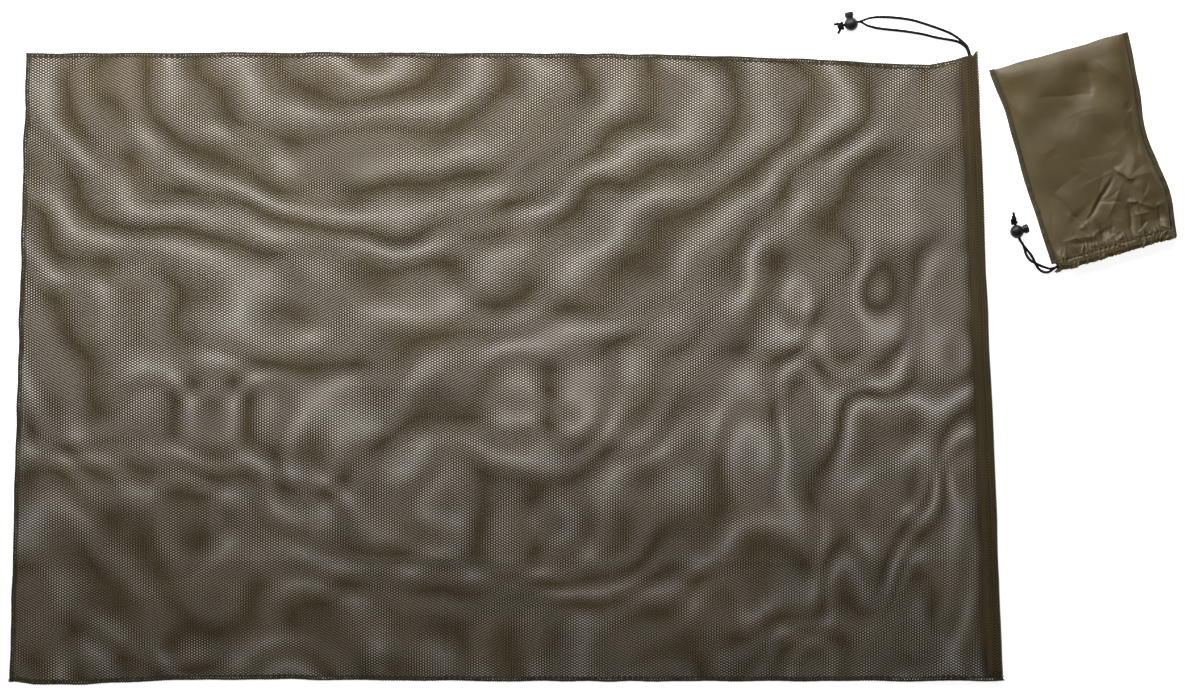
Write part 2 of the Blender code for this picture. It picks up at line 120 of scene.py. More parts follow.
POUCH = {
    "name": "pouch", "origin": (0.6820, 0.39185), "heading": -74.5, "casing": 15.0 * MM,
    "exit": "b", "ball": (0.6298, 0.1676), "cord_heading": -72.6,
    "upper_level": -CORD_SPREAD,
    "upper_route": [
        (0.6712, 0.1217, 0.0098), (0.6655, 0.1232, 0.0066), (0.6590, 0.1258, 0.0052),
        (0.6528, 0.1288, 0.0054), (0.6466, 0.1326, 0.0040), (0.6424, 0.1392, 0.0019),
        (0.6402, 0.1462, 0.0019), (0.6374, 0.1530, 0.0038),
    ],
    "lower_route": [
        (0.6705, 0.1180, 0.0020), (0.6635, 0.1180, 0.0016), (0.6575, 0.1222, 0.0016),
        (0.6536, 0.1288, 0.0016), (0.6508, 0.1348, 0.0018), (0.6470, 0.1404, 0.0032),
        (0.6413, 0.1468, 0.0056), (0.6362, 0.1530, 0.0082),
    ],
}

# ---- Net: holes in columns, every second column half a hole higher ----
COLUMN_STEP = 3.26 * MM
HOLE_STEP = 3.40 * MM
HOLE_REACH = 1.90 * MM
HOLE_SHOULDER = 0.80 * MM
HOLE_RISE = 0.82 * MM

# ---- How the net lies: rings where the layers' holes line up again, sag and packing folds ----
RINGS_AT = (0.425, 0.393)
RINGS_APART = (0.086, 0.052)
RINGS_EVEN_TO = 5
NET_SAG = 3.0 * MM
NET_FLOOR = 0.9 * MM
PACKED_ACROSS = (0.17, 0.36, 0.53, 0.74, 0.93)
PACKED_ALONG = (-0.24, -0.02, 0.21)
PACKED_WIDTH = 3.2 * MM
LAYER_GAP = 0.35 * MM

# ---- How the pouch's cloth lies ----
POUCH_TOP = 9.0 * MM
POUCH_ROUND = 26 * MM
POUCH_ROUND_AT_MOUTH = 9 * MM
POUCH_ROUND_AT_END = 20 * MM
POUCH_SLANT = 15.5 * MM
CREASE_REACH = 245

# ---- Room: the horizon's band is in shares of straight up ----
FLOOR_REACH = 40
SKY_STRENGTH = 0.12
HORIZON_STRENGTH = 0.90
HORIZON_BAND = (0.16, 0.34)

# ---- Camera ----
VIEW_CENTRE = (0.1048, 0.0211)
VIEW_WIDTH = 1.4694
LENS = 85.0
SENSOR = 36.0


# ---- Numbers and curves ----

def smooth(points, step):
    """Points a step apart along a Catmull-Rom curve through the given points."""
    points = np.array(points, float)
    ends = np.vstack([2 * points[0] - points[1], points, 2 * points[-1] - points[-2]])
    dense = []
    for p0, p1, p2, p3 in zip(ends, ends[1:], ends[2:], ends[3:]):
        for t in np.linspace(0, 1, 24, endpoint=False):
            dense.append(0.5 * (
                2 * p1 + (p2 - p0) * t + (2 * p0 - 5 * p1 + 4 * p2 - p3) * t**2
                + (3 * p1 - p0 - 3 * p2 + p3) * t**3))
    return evened(np.array(dense + [points[-1]]), step)


def run_lengths(line):
    """How far along the line each of its points is."""
    return np.r_[0, np.cumsum(np.linalg.norm(np.diff(line, axis=0), axis=1))]


def evened(line, step):
    """The same line with its points evenly spaced, about a step apart."""
    lengths = run_lengths(line)
    count = max(2, round(lengths[-1] / step))
    goal = np.linspace(0, lengths[-1], count + 1)
    return np.column_stack([np.interp(goal, lengths, line[:, k]) for k in range(3)])


def unit(t):
    return np.clip(t, 0, 1)


def ease(t):
    """0 up to 0 and 1 from 1, with a smooth step between."""
    t = unit(t)
    return t * t * (3 - 2 * t)


def bell(t):
    return np.exp(-t**2)


def rounded(t):
    """A quarter circle: 0 at 0, upright there, and level from 1 on."""
    return np.sqrt(np.clip(1 - (1 - unit(t))**2, 0, 1))


def beads(q, step):
    """Rounded humps one step apart, as stitches stand up between their holes."""
    return np.abs(np.sin(math.pi * q / step))


def moved(points, matrix):
    matrix = np.array(matrix)
    return points @ matrix[:3, :3].T + matrix[:3, 3]


def waves(x, y, seed, size, height, squeeze=1.0, count=28):
    """A smooth random surface over plan points: waves of about that size and that height.
    squeeze above 1 makes them long along x."""
    rng = np.random.default_rng(seed)
    total = np.zeros(np.shape(x))
    for _ in range(count):
        way = rng.uniform(0, 2 * math.pi)
        number = 2 * math.pi / size * rng.uniform(0.55, 1.35)
        phase = rng.uniform(0, 2 * math.pi)
        total = total + np.sin(
            number * (x * math.cos(way) / squeeze + y * math.sin(way) * squeeze) + phase)
    return height * math.sqrt(2 / count) * total


# ---- Meshes ----

def add_object(name, data):
    obj = bpy.data.objects.new(name, data)
    bpy.context.scene.collection.objects.link(obj)
    return obj


def mesh_object(name, points, faces, smooth_shade=True):
    """A mesh from a point array and face arrays, each array with faces of one size."""
    mesh = bpy.data.meshes.new(name)
    mesh.vertices.add(len(points))
    mesh.vertices.foreach_set("co", np.asarray(points, np.float32).ravel())
    faces = [np.asarray(f, np.int32) for f in faces if len(f)]
    corners = np.concatenate([f.ravel() for f in faces])
    sizes = np.concatenate([np.full(len(f), f.shape[1]) for f in faces])
    mesh.loops.add(len(corners))
    mesh.loops.foreach_set("vertex_index", corners)
    mesh.polygons.add(len(sizes))
    starts = np.r_[0, np.cumsum(sizes)[:-1]].astype(np.int32)
    mesh.polygons.foreach_set("loop_start", starts)
    mesh.update(calc_edges=True)
    mesh.validate()
    if smooth_shade:
        mesh.shade_smooth()
    return add_object(name, mesh)


def grid_faces(rows, columns, wrap=False):
    """Quads between neighbouring rows and columns of a grid of points."""
    r = np.arange(rows - 1)[:, None] * columns
    c = np.arange(columns if wrap else columns - 1)[None, :]
    after = (c + 1) % columns
    quads = np.stack([r + c, r + after, r + columns + after, r + columns + c], -1)
    return quads.reshape(-1, 4)


def sweep(line):
    """Side and up directions along a line, turning as little as possible."""
    way = np.gradient(line, axis=0)
    way /= np.linalg.norm(way, axis=1)[:, None]
    side = np.cross(way[0], (0, 0, 1.0))
    if np.linalg.norm(side) < 0.1:
        side = np.cross(way[0], (0, 1.0, 0))
    sides = []
    for w in way:
        side = side - (side @ w) * w
        side = side / np.linalg.norm(side)
        sides.append(side)
    sides = np.array(sides)
    return sides, np.cross(sides, way)


def capped(name, rings, ends):
    """A closed mesh from rings of points, with one more point at each end."""
    count, around = rings.shape[:2]
    first = np.arange(around)
    after = (first + 1) % around
    head = count * around
    last = head - around
    low = np.stack([np.full(around, head), after, first], -1)
    high = np.stack([np.full(around, head + 1), last + first, last + after], -1)
    points = np.vstack([rings.reshape(-1, 3), ends])
    return mesh_object(name, points, [grid_faces(count, around, wrap=True), low, high])


def tube(name, line, radius, around=12, relief=None):
    """A round tube along a line, with closed ends. relief(turn, length) adds height to its
    surface."""
    line = np.asarray(line, float)
    sides, ups = sweep(line)
    turn = np.linspace(0, 2 * math.pi, around, endpoint=False)
    length = run_lengths(line)
    r = np.full((len(line), around), radius)
    if relief is not None:
        r = r + relief(turn[None, :], length[:, None])
    rings = (
        line[:, None] + sides[:, None] * (r * np.cos(turn))[..., None]
        + ups[:, None] * (r * np.sin(turn))[..., None])
    return capped(name, rings, line[[0, -1]])


# ---- Materials ----

class Look:
    """A Principled material, with the few node chains that the materials here are made of."""

    def __init__(self, name, roughness=0.8, metallic=0.0, **sockets):
        self.material = bpy.data.materials.new(name)
        self.material.use_nodes = True
        self.tree = self.material.node_tree
        self.shader = self.tree.nodes["Principled BSDF"]
        self.shader.inputs["Roughness"].default_value = roughness
        self.shader.inputs["Metallic"].default_value = metallic
        for socket, value in sockets.items():
            self.shader.inputs[socket.replace("_", " ")].default_value = value
        self.place = self.node("ShaderNodeTexCoord").outputs["Object"]

    def node(self, kind, **settings):
        node = self.tree.nodes.new(kind)
        for key, value in settings.items():
            if key in node.inputs:
                node.inputs[key].default_value = value
            else:
                setattr(node, key, value)
        return node

    def link(self, a, b):
        self.tree.links.new(a, b)

    def texture(self, kind, mapped, **settings):
        """A texture on the piece's own coordinates, first turned or stretched as mapped says."""
        mapping = self.node("ShaderNodeMapping", **mapped)
        self.link(self.place, mapping.inputs["Vector"])
        texture = self.node(kind, **settings)
        self.link(mapping.outputs[0], texture.inputs["Vector"])
        return texture.outputs["Fac"]

    def noise(self, scale, detail=3.0, stretch=(1, 1, 1)):
        return self.texture(
            "ShaderNodeTexNoise", {"Scale": stretch}, Scale=scale, Detail=detail, Roughness=0.6)

    def wave(self, scale, direction, distortion=0.0, turn=0.0):
        return self.texture(
            "ShaderNodeTexWave", {"Rotation": (0, 0, turn)}, Scale=scale,
            Distortion=distortion, bands_direction=direction)

    def ramp(self, value, *stops):
        ramp = self.node("ShaderNodeValToRGB")
        elements = ramp.color_ramp.elements
        while len(elements) < len(stops):
            elements.new(0.5)
        for element, (at, colour) in zip(elements, stops):
            element.position = at
            element.color = (*colour, 1.0)
        self.link(value, ramp.inputs["Fac"])
        return ramp.outputs["Color"]

    def times(self, a, b, share):
        """Colour a, darkened by colour b to that share."""
        mix = self.node("ShaderNodeMix", data_type="RGBA", blend_type="MULTIPLY")
        mix.inputs[0].default_value = share
        self.link(a, mix.inputs[6])
        self.link(b, mix.inputs[7])
        return mix.outputs[2]

    def between(self, share, low, high):
        """Low where share is 0 and high where it is 1."""
        spread = self.node("ShaderNodeMapRange")
        spread.inputs["To Min"].default_value = low
        spread.inputs["To Max"].default_value = high
        self.link(share, spread.inputs["Value"])
        return spread.outputs[0]

    def colour(self, value):
        self.link(value, self.shader.inputs["Base Color"])

    def roughness(self, value, low, high):
        self.link(self.between(value, low, high), self.shader.inputs["Roughness"])

    def bump(self, *heights):
        """heights are (value, depth in metres) pairs."""
        before = None
        for value, depth in heights:
            bump = self.node("ShaderNodeBump", Strength=1.0, Distance=depth)
            self.link(value, bump.inputs["Height"])
            if before is not None:
                self.link(before, bump.inputs["Normal"])
            before = bump.outputs["Normal"]
        self.link(before, self.shader.inputs["Normal"])


def dress(obj, look):
    obj.data.materials.clear()
    obj.data.materials.append(look.material)
    return obj


# ---- What each piece is in the frame ----

def enter(piece, look, body, cad):
    """A piece's look, the body that it rides on, and the CAD node that it replaces."""
    dress(piece, look)
    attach(piece, body)
    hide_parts(cad)


def enter_layer(piece, look, plan, layer, side, cad):
    """The same for a piece of one layer. A piece of the upper layer goes to blend_up instead of
    onto a body, and its side "a" piece stands for the CAD node."""
    dress(piece, look)
    if layer == "upper":
        blend_up(piece, plan, side)
    else:
        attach(piece, plan.name)
    if side != "b":
        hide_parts(cad)


def blend_up(piece, plan, side):
    """Bakes the piece's placement into its mesh. The points for being sewn down at the side seam
    and for lifting fully at the middle are worked out, but nothing uses them.
    """
    x = plan.lines[side][-1][0] / 2
    y = plan.side(side, x) * (1 - SEWN_SHARE)
    start = plan.world(x, y, 0.0)[0]
    end = plan.world(x, 0.0, 0.0)[0]
    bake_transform(piece)


def halves(layer, low, high):
    """The upper layer's strips are in two halves, split at their middle."""
    return (("b", (low, 0.0)), ("a", (0.0, high))) if layer == "upper" else (("", (low, high)),)


def sided(name, side):
    return f"{name}_{side}" if side else name


def net_look(name, dark, light):
    """Knitted polyester thread: uneven olive, a dull sheen, and a fine knit."""
    look = Look(name, 0.66, Sheen_Weight=0.08, Sheen_Roughness=0.5,
                Sheen_Tint=(0.85, 0.68, 0.40, 1.0), Specular_IOR_Level=0.16)
    broad = look.ramp(look.noise(9.0, 4.0), (0.35, dark), (0.65, light))
    fine = look.noise(1400.0, 2.0)
    knots = look.ramp(fine, (0.30, (0.55, 0.53, 0.50)), (0.62, (1.0, 1.0, 1.0)))
    look.colour(look.times(broad, knots, 0.75))
    look.bump((fine, 0.00025), (look.wave(900.0, "Y", 2.0), 0.0001))
    return look


def nylon_look(name, dark, light):
    """Thin taffeta: a soft gloss, fine weave lines across it, and a little fading."""
    look = Look(name, 0.46, Sheen_Weight=0.16, Sheen_Roughness=0.35,
                Sheen_Tint=(0.95, 0.85, 0.65, 1.0), Specular_IOR_Level=0.38)
    turn = math.radians(POUCH["heading"])
    weft = look.wave(420.0, "X", 0.6, turn)
    warp = look.wave(640.0, "Y", 0.6, turn)
    broad = look.ramp(look.noise(24.0, 4.0), (0.35, dark), (0.65, light))
    lines = look.ramp(weft, (0.2, (0.86, 0.85, 0.82)), (0.8, (1.0, 1.0, 1.0)))
    look.colour(look.times(broad, lines, 0.6))
    look.roughness(look.noise(70.0, 3.0), 0.38, 0.52)
    look.bump((weft, 0.00004), (warp, 0.00003), (look.noise(420.0, 2.0), 0.00006))
    return look


def thread_look():
    """Sewing thread a shade darker than the net, with its twist."""
    look = Look("olive_thread", 0.6, Sheen_Weight=0.2)
    twist = look.noise(3000.0, 2.0)
    look.colour(look.ramp(twist, (0.3, (0.026, 0.020, 0.010)), (0.7, (0.050, 0.039, 0.020))))
    look.bump((twist, 0.0001))
    return look


def cord_look():
    look = Look("black_cord", 0.8, Specular_IOR_Level=0.12)
    fibres = look.noise(2600.0, 3.0)
    look.colour(look.ramp(fibres, (0.3, (0.002, 0.002, 0.003)), (0.75, (0.009, 0.010, 0.013))))
    look.bump((fibres, 0.00012))
    return look


def plastic_look():
    """Black moulded plastic with a fine spark-eroded skin and faint rub marks."""
    look = Look("lock_plastic", 0.4, Specular_IOR_Level=0.3)
    skin = look.noise(3200.0, 2.0)
    rub = look.noise(160.0, 4.0, (1, 1, 3))
    look.colour(look.ramp(rub, (0.3, (0.006, 0.0064, 0.0072)), (0.8, (0.013, 0.0138, 0.0155))))
    look.roughness(rub, 0.32, 0.48)
    look.bump((skin, 0.00003))
    return look


def steel_look():
    """Drawn spring wire, with fine draw marks."""
    look = Look("spring_steel", 0.3, 1.0)
    marks = look.noise(900.0, 3.0, (1, 1, 6))
    look.colour(look.ramp(marks, (0.3, (0.44, 0.44, 0.45)), (0.7, (0.60, 0.60, 0.61))))
    look.roughness(marks, 0.24, 0.42)
    look.bump((marks, 0.00002))
    return look


# ---- A bag's plan, read from its CAD panels ----

def node_points(name):
    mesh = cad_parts[name].data
    co = np.zeros(len(mesh.vertices) * 3, np.float32)
    mesh.vertices.foreach_get("co", co)
    return np.unique(co.reshape(-1, 3).astype(float).round(6), axis=0)


class Plan:
    """One bag's outline and heights, in its own frame."""

    def __init__(self, spec):
        self.spec = spec
        self.name = spec["name"]
        self.casing = spec["casing"]
        turn = Matrix.Rotation(math.radians(spec["heading"]), 4, "Z")
        self.frame = Matrix.Translation((*spec["origin"], 0.0)) @ turn
        self.exit = spec["exit"]
        self.far = "b" if self.exit == "a" else "a"
        back = self.frame.inverted()
        lower = moved(node_points(self.name + "_lower_panel"), back)
        floor = lower[lower[:, 2] < 0.1 * MM]
        self.lines = {}
        for side, sign in (("a", 1), ("b", -1)):
            line = floor[floor[:, 1] * sign > 0]
            line = line[np.argsort(line[:, 0])][:, :2]
            self.lines[side] = line + (0, sign * PANEL_INSET)
        upper = moved(node_points(self.name + "_upper_panel"), back)
        self.slope, self.rise = np.polyfit(upper[:, 0], upper[:, 2], 1)
        self.low_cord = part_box(self.name + "_lower_cord_run")[0].z + CORD_RADIUS

    def side(self, side, x):
        """y of the outline on one side."""
        line = self.lines[side]
        return np.interp(x, line[:, 0], line[:, 1])

    def corner(self, side):
        """y of the outline at the mouth, on one side."""
        return self.lines[side][-1][1]

    def _across(self, y, corner):
        a, b = self.lines["a"][corner], self.lines["b"][corner]
        return b[0] + (a[0] - b[0]) * (y - b[1]) / (a[1] - b[1])

    def end(self, y):
        """x of the closed end's outline."""
        return self._across(y, 0) - PANEL_INSET

    def mouth(self, y):
        """x of the mouth's edge."""
        return self._across(y, -1)

    def height(self, x):
        """Middle height of the CAD upper panel."""
        return self.rise + self.slope * x

    def world(self, x, y, z):
        """Points of the bag's own frame, in the part's frame."""
        points = np.stack(np.broadcast_arrays(x, y, z), -1)
        return moved(points.reshape(-1, 3), self.frame)

    def exit_point(self, past, z):
        """A point over the middle of the channel, that far past the exit side's seam line."""
        sign = 1 if self.exit == "a" else -1
        y = self.corner(self.exit) - sign * (SEAM_WIDTH - past)
        return self.world(self.mouth(y) - self.casing / 2, y, z)[0]


# ---- Cords, knots and locks ----

def lock_matrix(spec):
    turn = Matrix.Rotation(math.radians(spec["cord_heading"]), 4, "Z")
    return Matrix.Translation((*spec["ball"], BALL_RADIUS)) @ turn


def braid(turn, length):
    """Two sets of strands crossing over and under each other round the cord."""
    pitch = 2 * math.pi * length / BRAID_LAY
    one = np.abs(np.cos(BRAID_STRANDS / 2 * (turn + pitch)))
    two = np.abs(np.cos(BRAID_STRANDS / 2 * (turn - pitch)))
    return BRAID_RELIEF * (np.maximum(one, two) - 0.85)


def make_strand(plan, layer, look):
    """One free end of the cord: out of its channel, over the floor, through the lock."""
    spec = plan.spec
    upper = layer == "upper"
    z = plan.height(plan.lines["a"][-1][0]) - UPPER_CORD_DROP if upper else plan.low_cord
    level = spec["upper_level"] * (1 if upper else -1)
    lock = lock_matrix(spec)
    inside = [lock @ Vector((x, CORD_LEVEL, level)) for x in (11 * MM, 0.0, -BALL_RADIUS)]
    points = [plan.exit_point(0.3 * MM, z), plan.exit_point(2.5 * MM, z)]
    line = smooth(points + spec[layer + "_route"] + [tuple(p) for p in inside], 0.5 * MM)
    name = f"{plan.name}_{layer}_strand"
    whole = float(run_lengths(line)[-1])

    def loose_braid(turn, length):
        """The braid swells a little where nothing holds it."""
        free = ease((length - 4 * MM) / 0.02) * ease((whole - 0.03 - length) / 0.015)
        return braid(turn, length) + LOOSE_SWELL * free

    strand = tube(name, line, CORD_RADIUS, 24, loose_braid)
    enter(strand, look, plan.name, f"{plan.name}_{layer}_cord_strand")


def knot_line(size, twist):
    """An overhand knot's path along x, from the lock's side to its free end."""
    t = np.linspace(-2.02, 2.06, 150)
    along = (t**5 - 10 * t) / 12
    loop_y = (t**3 - 3 * t) / 2
    loop_z = (t**4 - 4 * t**2 + 2) / 2.6
    c, s = math.cos(twist), math.sin(twist)
    y, z = c * loop_y - s * loop_z, s * loop_y + c * loop_z
    return np.column_stack([-along * size[0], y * size[1], z * size[2]])


def make_knot(plan, look, size, tails):
    """Both cord ends in one overhand knot, with their cut and melted tails."""
    lock = lock_matrix(plan.spec)
    parts = []
    for level, twist, tail in ((CORD_SPREAD, 0.35, tails[0]), (-CORD_SPREAD, 2.2, tails[1])):
        loop = knot_line(size, twist)
        loop[:, 0] += KNOT_AT
        start = [(-BALL_RADIUS - 0.2 * MM, CORD_LEVEL, level)]
        line = smooth(np.vstack([start, loop[12:-14:8], [np.array(tail) * MM]]), 0.4 * MM)
        line = moved(line, lock)
        line[:, 2] = np.maximum(line[:, 2], CORD_RADIUS + 0.1 * MM)
        parts.append(tube("knot_part", line, CORD_RADIUS * 1.12, 20, braid))
    knot = join(f"{plan.name}_knot", parts)
    enter(knot, look, plan.name, f"{plan.name}_cord_knot")
    return knot


def join(name, parts):
    """Several meshes as one new one."""
    joined = bmesh.new()
    for part in parts:
        joined.from_mesh(part.data)
        bpy.data.objects.remove(part)
    mesh = bpy.data.meshes.new(name)
    joined.to_mesh(mesh)
    joined.free()
    mesh.shade_smooth()
    return add_object(name, mesh)


def turned(name, profile, matrix, steps=64):
    """A closed turned solid about its own y axis: profile points are (radius, y)."""
    angle = np.linspace(0, 2 * math.pi, steps, endpoint=False)
    rings = np.array([
        [(r * math.cos(a), y, r * math.sin(a)) for a in angle] for r, y in profile if r > 1e-7])
    ends = np.array([(0, profile[0][1], 0), (0, profile[-1][1], 0)])
    obj = capped(name, moved(rings, matrix), moved(ends, matrix))
    bm = bmesh.new()
    bm.from_mesh(obj.data)
    bmesh.ops.recalc_face_normals(bm, faces=bm.faces)
    bm.to_mesh(obj.data)
    bm.free()
    return obj


def cut_box(obj, low, high, matrix, soften=0.2 * MM):
    """Cut a box out of a solid and soften the edges that this leaves."""
    corners = [(x, y, z) for x in (0, 1) for y in (0, 1) for z in (0, 1)]
    points = moved(low + np.array(corners) * (high - low), matrix)
    faces = [(0, 1, 3, 2), (4, 6, 7, 5), (0, 4, 5, 1), (2, 3, 7, 6), (0, 2, 6, 4), (1, 5, 7, 3)]
    cutter = mesh_object(obj.name + "_cutter", points, [faces], False)
    boolean = obj.modifiers.new("Cut", "BOOLEAN")
    boolean.operation = "DIFFERENCE"
    boolean.object = cutter
    bevel = obj.modifiers.new("Soft", "BEVEL")
    bevel.width = soften
    bevel.segments = 2
    bevel.limit_method = "ANGLE"
    bevel.angle_limit = math.radians(50)
    apply_modifiers(obj)
    bpy.data.objects.remove(cutter)
    obj.data.set_sharp_from_angle(angle=math.radians(38))


def apply_modifiers(obj):
    bpy.context.view_layer.update()
    evaluated = obj.evaluated_get(bpy.context.evaluated_depsgraph_get())
    mesh = bpy.data.meshes.new_from_object(evaluated)
    obj.modifiers.clear()
    obj.data = mesh


def arc(centre, radius, start, stop, count):
    """Profile points (radius, y) on an arc, angles in degrees from the radial direction."""
    angles = np.radians(np.linspace(start, stop, count))
    return [(centre[0] + radius * math.cos(a), centre[1] + radius * math.sin(a)) for a in angles]


def make_lock(plan, plastic, steel):
    """The spring lock: a bored ball with a moulded rim, its button and its spring."""
    name = plan.name
    matrix = lock_matrix(plan.spec)
    lip = 0.45 * MM
    top = math.sqrt(BALL_RADIUS**2 - (BORE_RADIUS + lip)**2)
    steepest = math.degrees(math.asin(top / BALL_RADIUS))
    profile = [(0, -BALL_RADIUS)] + arc((0, 0), BALL_RADIUS, -89, steepest, 60)
    profile += arc((BORE_RADIUS + lip / 2, top), lip / 2, 60, 180, 5)
    profile += [(BORE_RADIUS, y) for y in np.linspace(top - lip, BORE_FLOOR, 12)]
    profile += [(0, BORE_FLOOR)]
    ball = turned(name + "_lock_ball", profile, matrix)
    slot = CORD_RADIUS + 0.3 * MM
    low = np.array([-2 * BALL_RADIUS, CORD_LEVEL - slot, -CORD_SPREAD - slot])
    high = np.array([2 * BALL_RADIUS, CORD_LEVEL + slot, CORD_SPREAD + slot])
    cut_box(ball, low, high, matrix)
    enter(ball, plastic, name + "_lock", name + "_lock_body")

    # The cap comes down to just over the ball's rim when it is pressed.
    cap_foot = top + lip / 2 + PRESS_TRAVEL + 0.15 * MM
    edge = 1.9 * MM
    side = [(HEAD_RADIUS, y) for y in np.linspace(cap_foot + 0.4 * MM, HEAD_TOP - edge, 8)]
    profile = [(0, STEM_FOOT), (STEM_RADIUS - 0.4 * MM, STEM_FOOT),
               (STEM_RADIUS, STEM_FOOT + 0.4 * MM)]
    profile += [(STEM_RADIUS, y) for y in np.linspace(STEM_FOOT + 1 * MM, cap_foot, 10)]
    profile += [(HEAD_RADIUS - 0.4 * MM, cap_foot)] + side
    profile += arc((HEAD_RADIUS - edge, HEAD_TOP - edge), edge, 10, 90, 7)
    profile += [(r * HEAD_RADIUS, HEAD_TOP) for r in (0.5, 0.3, 0.1)] + [(0, HEAD_TOP)]
    button = turned(name + "_lock_button", profile, matrix)
    cut_box(button, low, high + (0, PRESS_TRAVEL, 0), matrix)
    enter(button, plastic, name + "_button", name + "_lock_plunger")

    low, high = BORE_FLOOR + 0.6 * MM, STEM_FOOT - 0.6 * MM
    angle = np.linspace(0, 2 * math.pi * SPRING_TURNS, 32 * SPRING_TURNS)
    coil = np.column_stack([
        SPRING_RADIUS * np.cos(angle), np.linspace(low, high, len(angle)),
        SPRING_RADIUS * np.sin(angle)])
    spring = tube(name + "_spring", moved(coil, matrix), WIRE_RADIUS, 10)
    enter(spring, steel, name + "_lock", name + "_lock_spring")
    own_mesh(spring)
    return ball, button


# ---- Net ----

def net(name, x_range, y_range, inside, shape):
    """A net over part of a plan. inside(x, y) says which holes it has, and shape(x, y) gives
    the points. Each hole keeps six corners, joined to its neighbours' by flat threads."""
    first, last = math.floor(x_range[0] / COLUMN_STEP), math.ceil(x_range[1] / COLUMN_STEP)
    low, high = math.floor(y_range[0] / HOLE_STEP) - 1, math.ceil(y_range[1] / HOLE_STEP)
    columns, rows = np.arange(first, last + 1), np.arange(low, high + 1)
    i, j = np.meshgrid(columns, rows, indexing="ij")
    odd = i % 2
    x, y = i * COLUMN_STEP, (j + 0.5 * odd) * HOLE_STEP
    kept = (x >= x_range[0]) & (x < x_range[1] + COLUMN_STEP)
    kept &= (y >= y_range[0] - HOLE_STEP) & (y < y_range[1] + HOLE_STEP) & inside(x, y)
    index = np.full(kept.shape, -1)
    index[kept] = np.arange(kept.sum())

    def neighbour(right, up):
        """Index of the cell that many columns right and rows up, or -1."""
        a = np.arange(len(columns))[:, None] + right
        b = np.arange(len(rows))[None, :] + up
        good = (a < len(columns)) & (b >= 0) & (b < len(rows))
        found = index[np.clip(a, 0, len(columns) - 1), np.clip(b, 0, len(rows) - 1)]
        return np.where(good, found, -1)

    above = neighbour(0, 1)
    right_up = neighbour(1, odd)
    right_down = neighbour(1, odd - 1)
    own = kept & (x < x_range[1]) & (y >= y_range[0]) & (y < y_range[1])
    corner_x = np.array([1, 0, 0, -1, 0, 0]) * HOLE_REACH
    corner_x = corner_x + np.array([0, 1, -1, 0, -1, 1]) * HOLE_SHOULDER
    corner_y = np.array([0, 1, 1, 0, -1, -1]) * HOLE_RISE

    def faces(*corners):
        """One face for each cell of its own, if every cell it touches is there."""
        good = own.copy()
        for cell, _ in corners:
            good &= cell >= 0
        return np.stack([cell[good] * 6 + corner for cell, corner in corners], -1)

    quads = np.vstack([
        faces((index, 1), (above, 5), (above, 4), (index, 2)),
        faces((index, 0), (right_up, 4), (right_up, 3), (index, 1)),
        faces((index, 5), (right_down, 3), (right_down, 2), (index, 0))])
    triangles = np.vstack([
        faces((index, 0), (right_down, 2), (right_up, 4)),
        faces((index, 1), (right_up, 3), (above, 5))])
    px = (x[kept][:, None] + corner_x).ravel()
    py = (y[kept][:, None] + corner_y).ravel()
    used = np.zeros(len(px), bool)
    used[quads.ravel()] = True
    used[triangles.ravel()] = True
    renumber = np.cumsum(used) - 1
    points = shape(px[used], py[used])
    return mesh_object(name, points, [renumber[quads], renumber[triangles]])


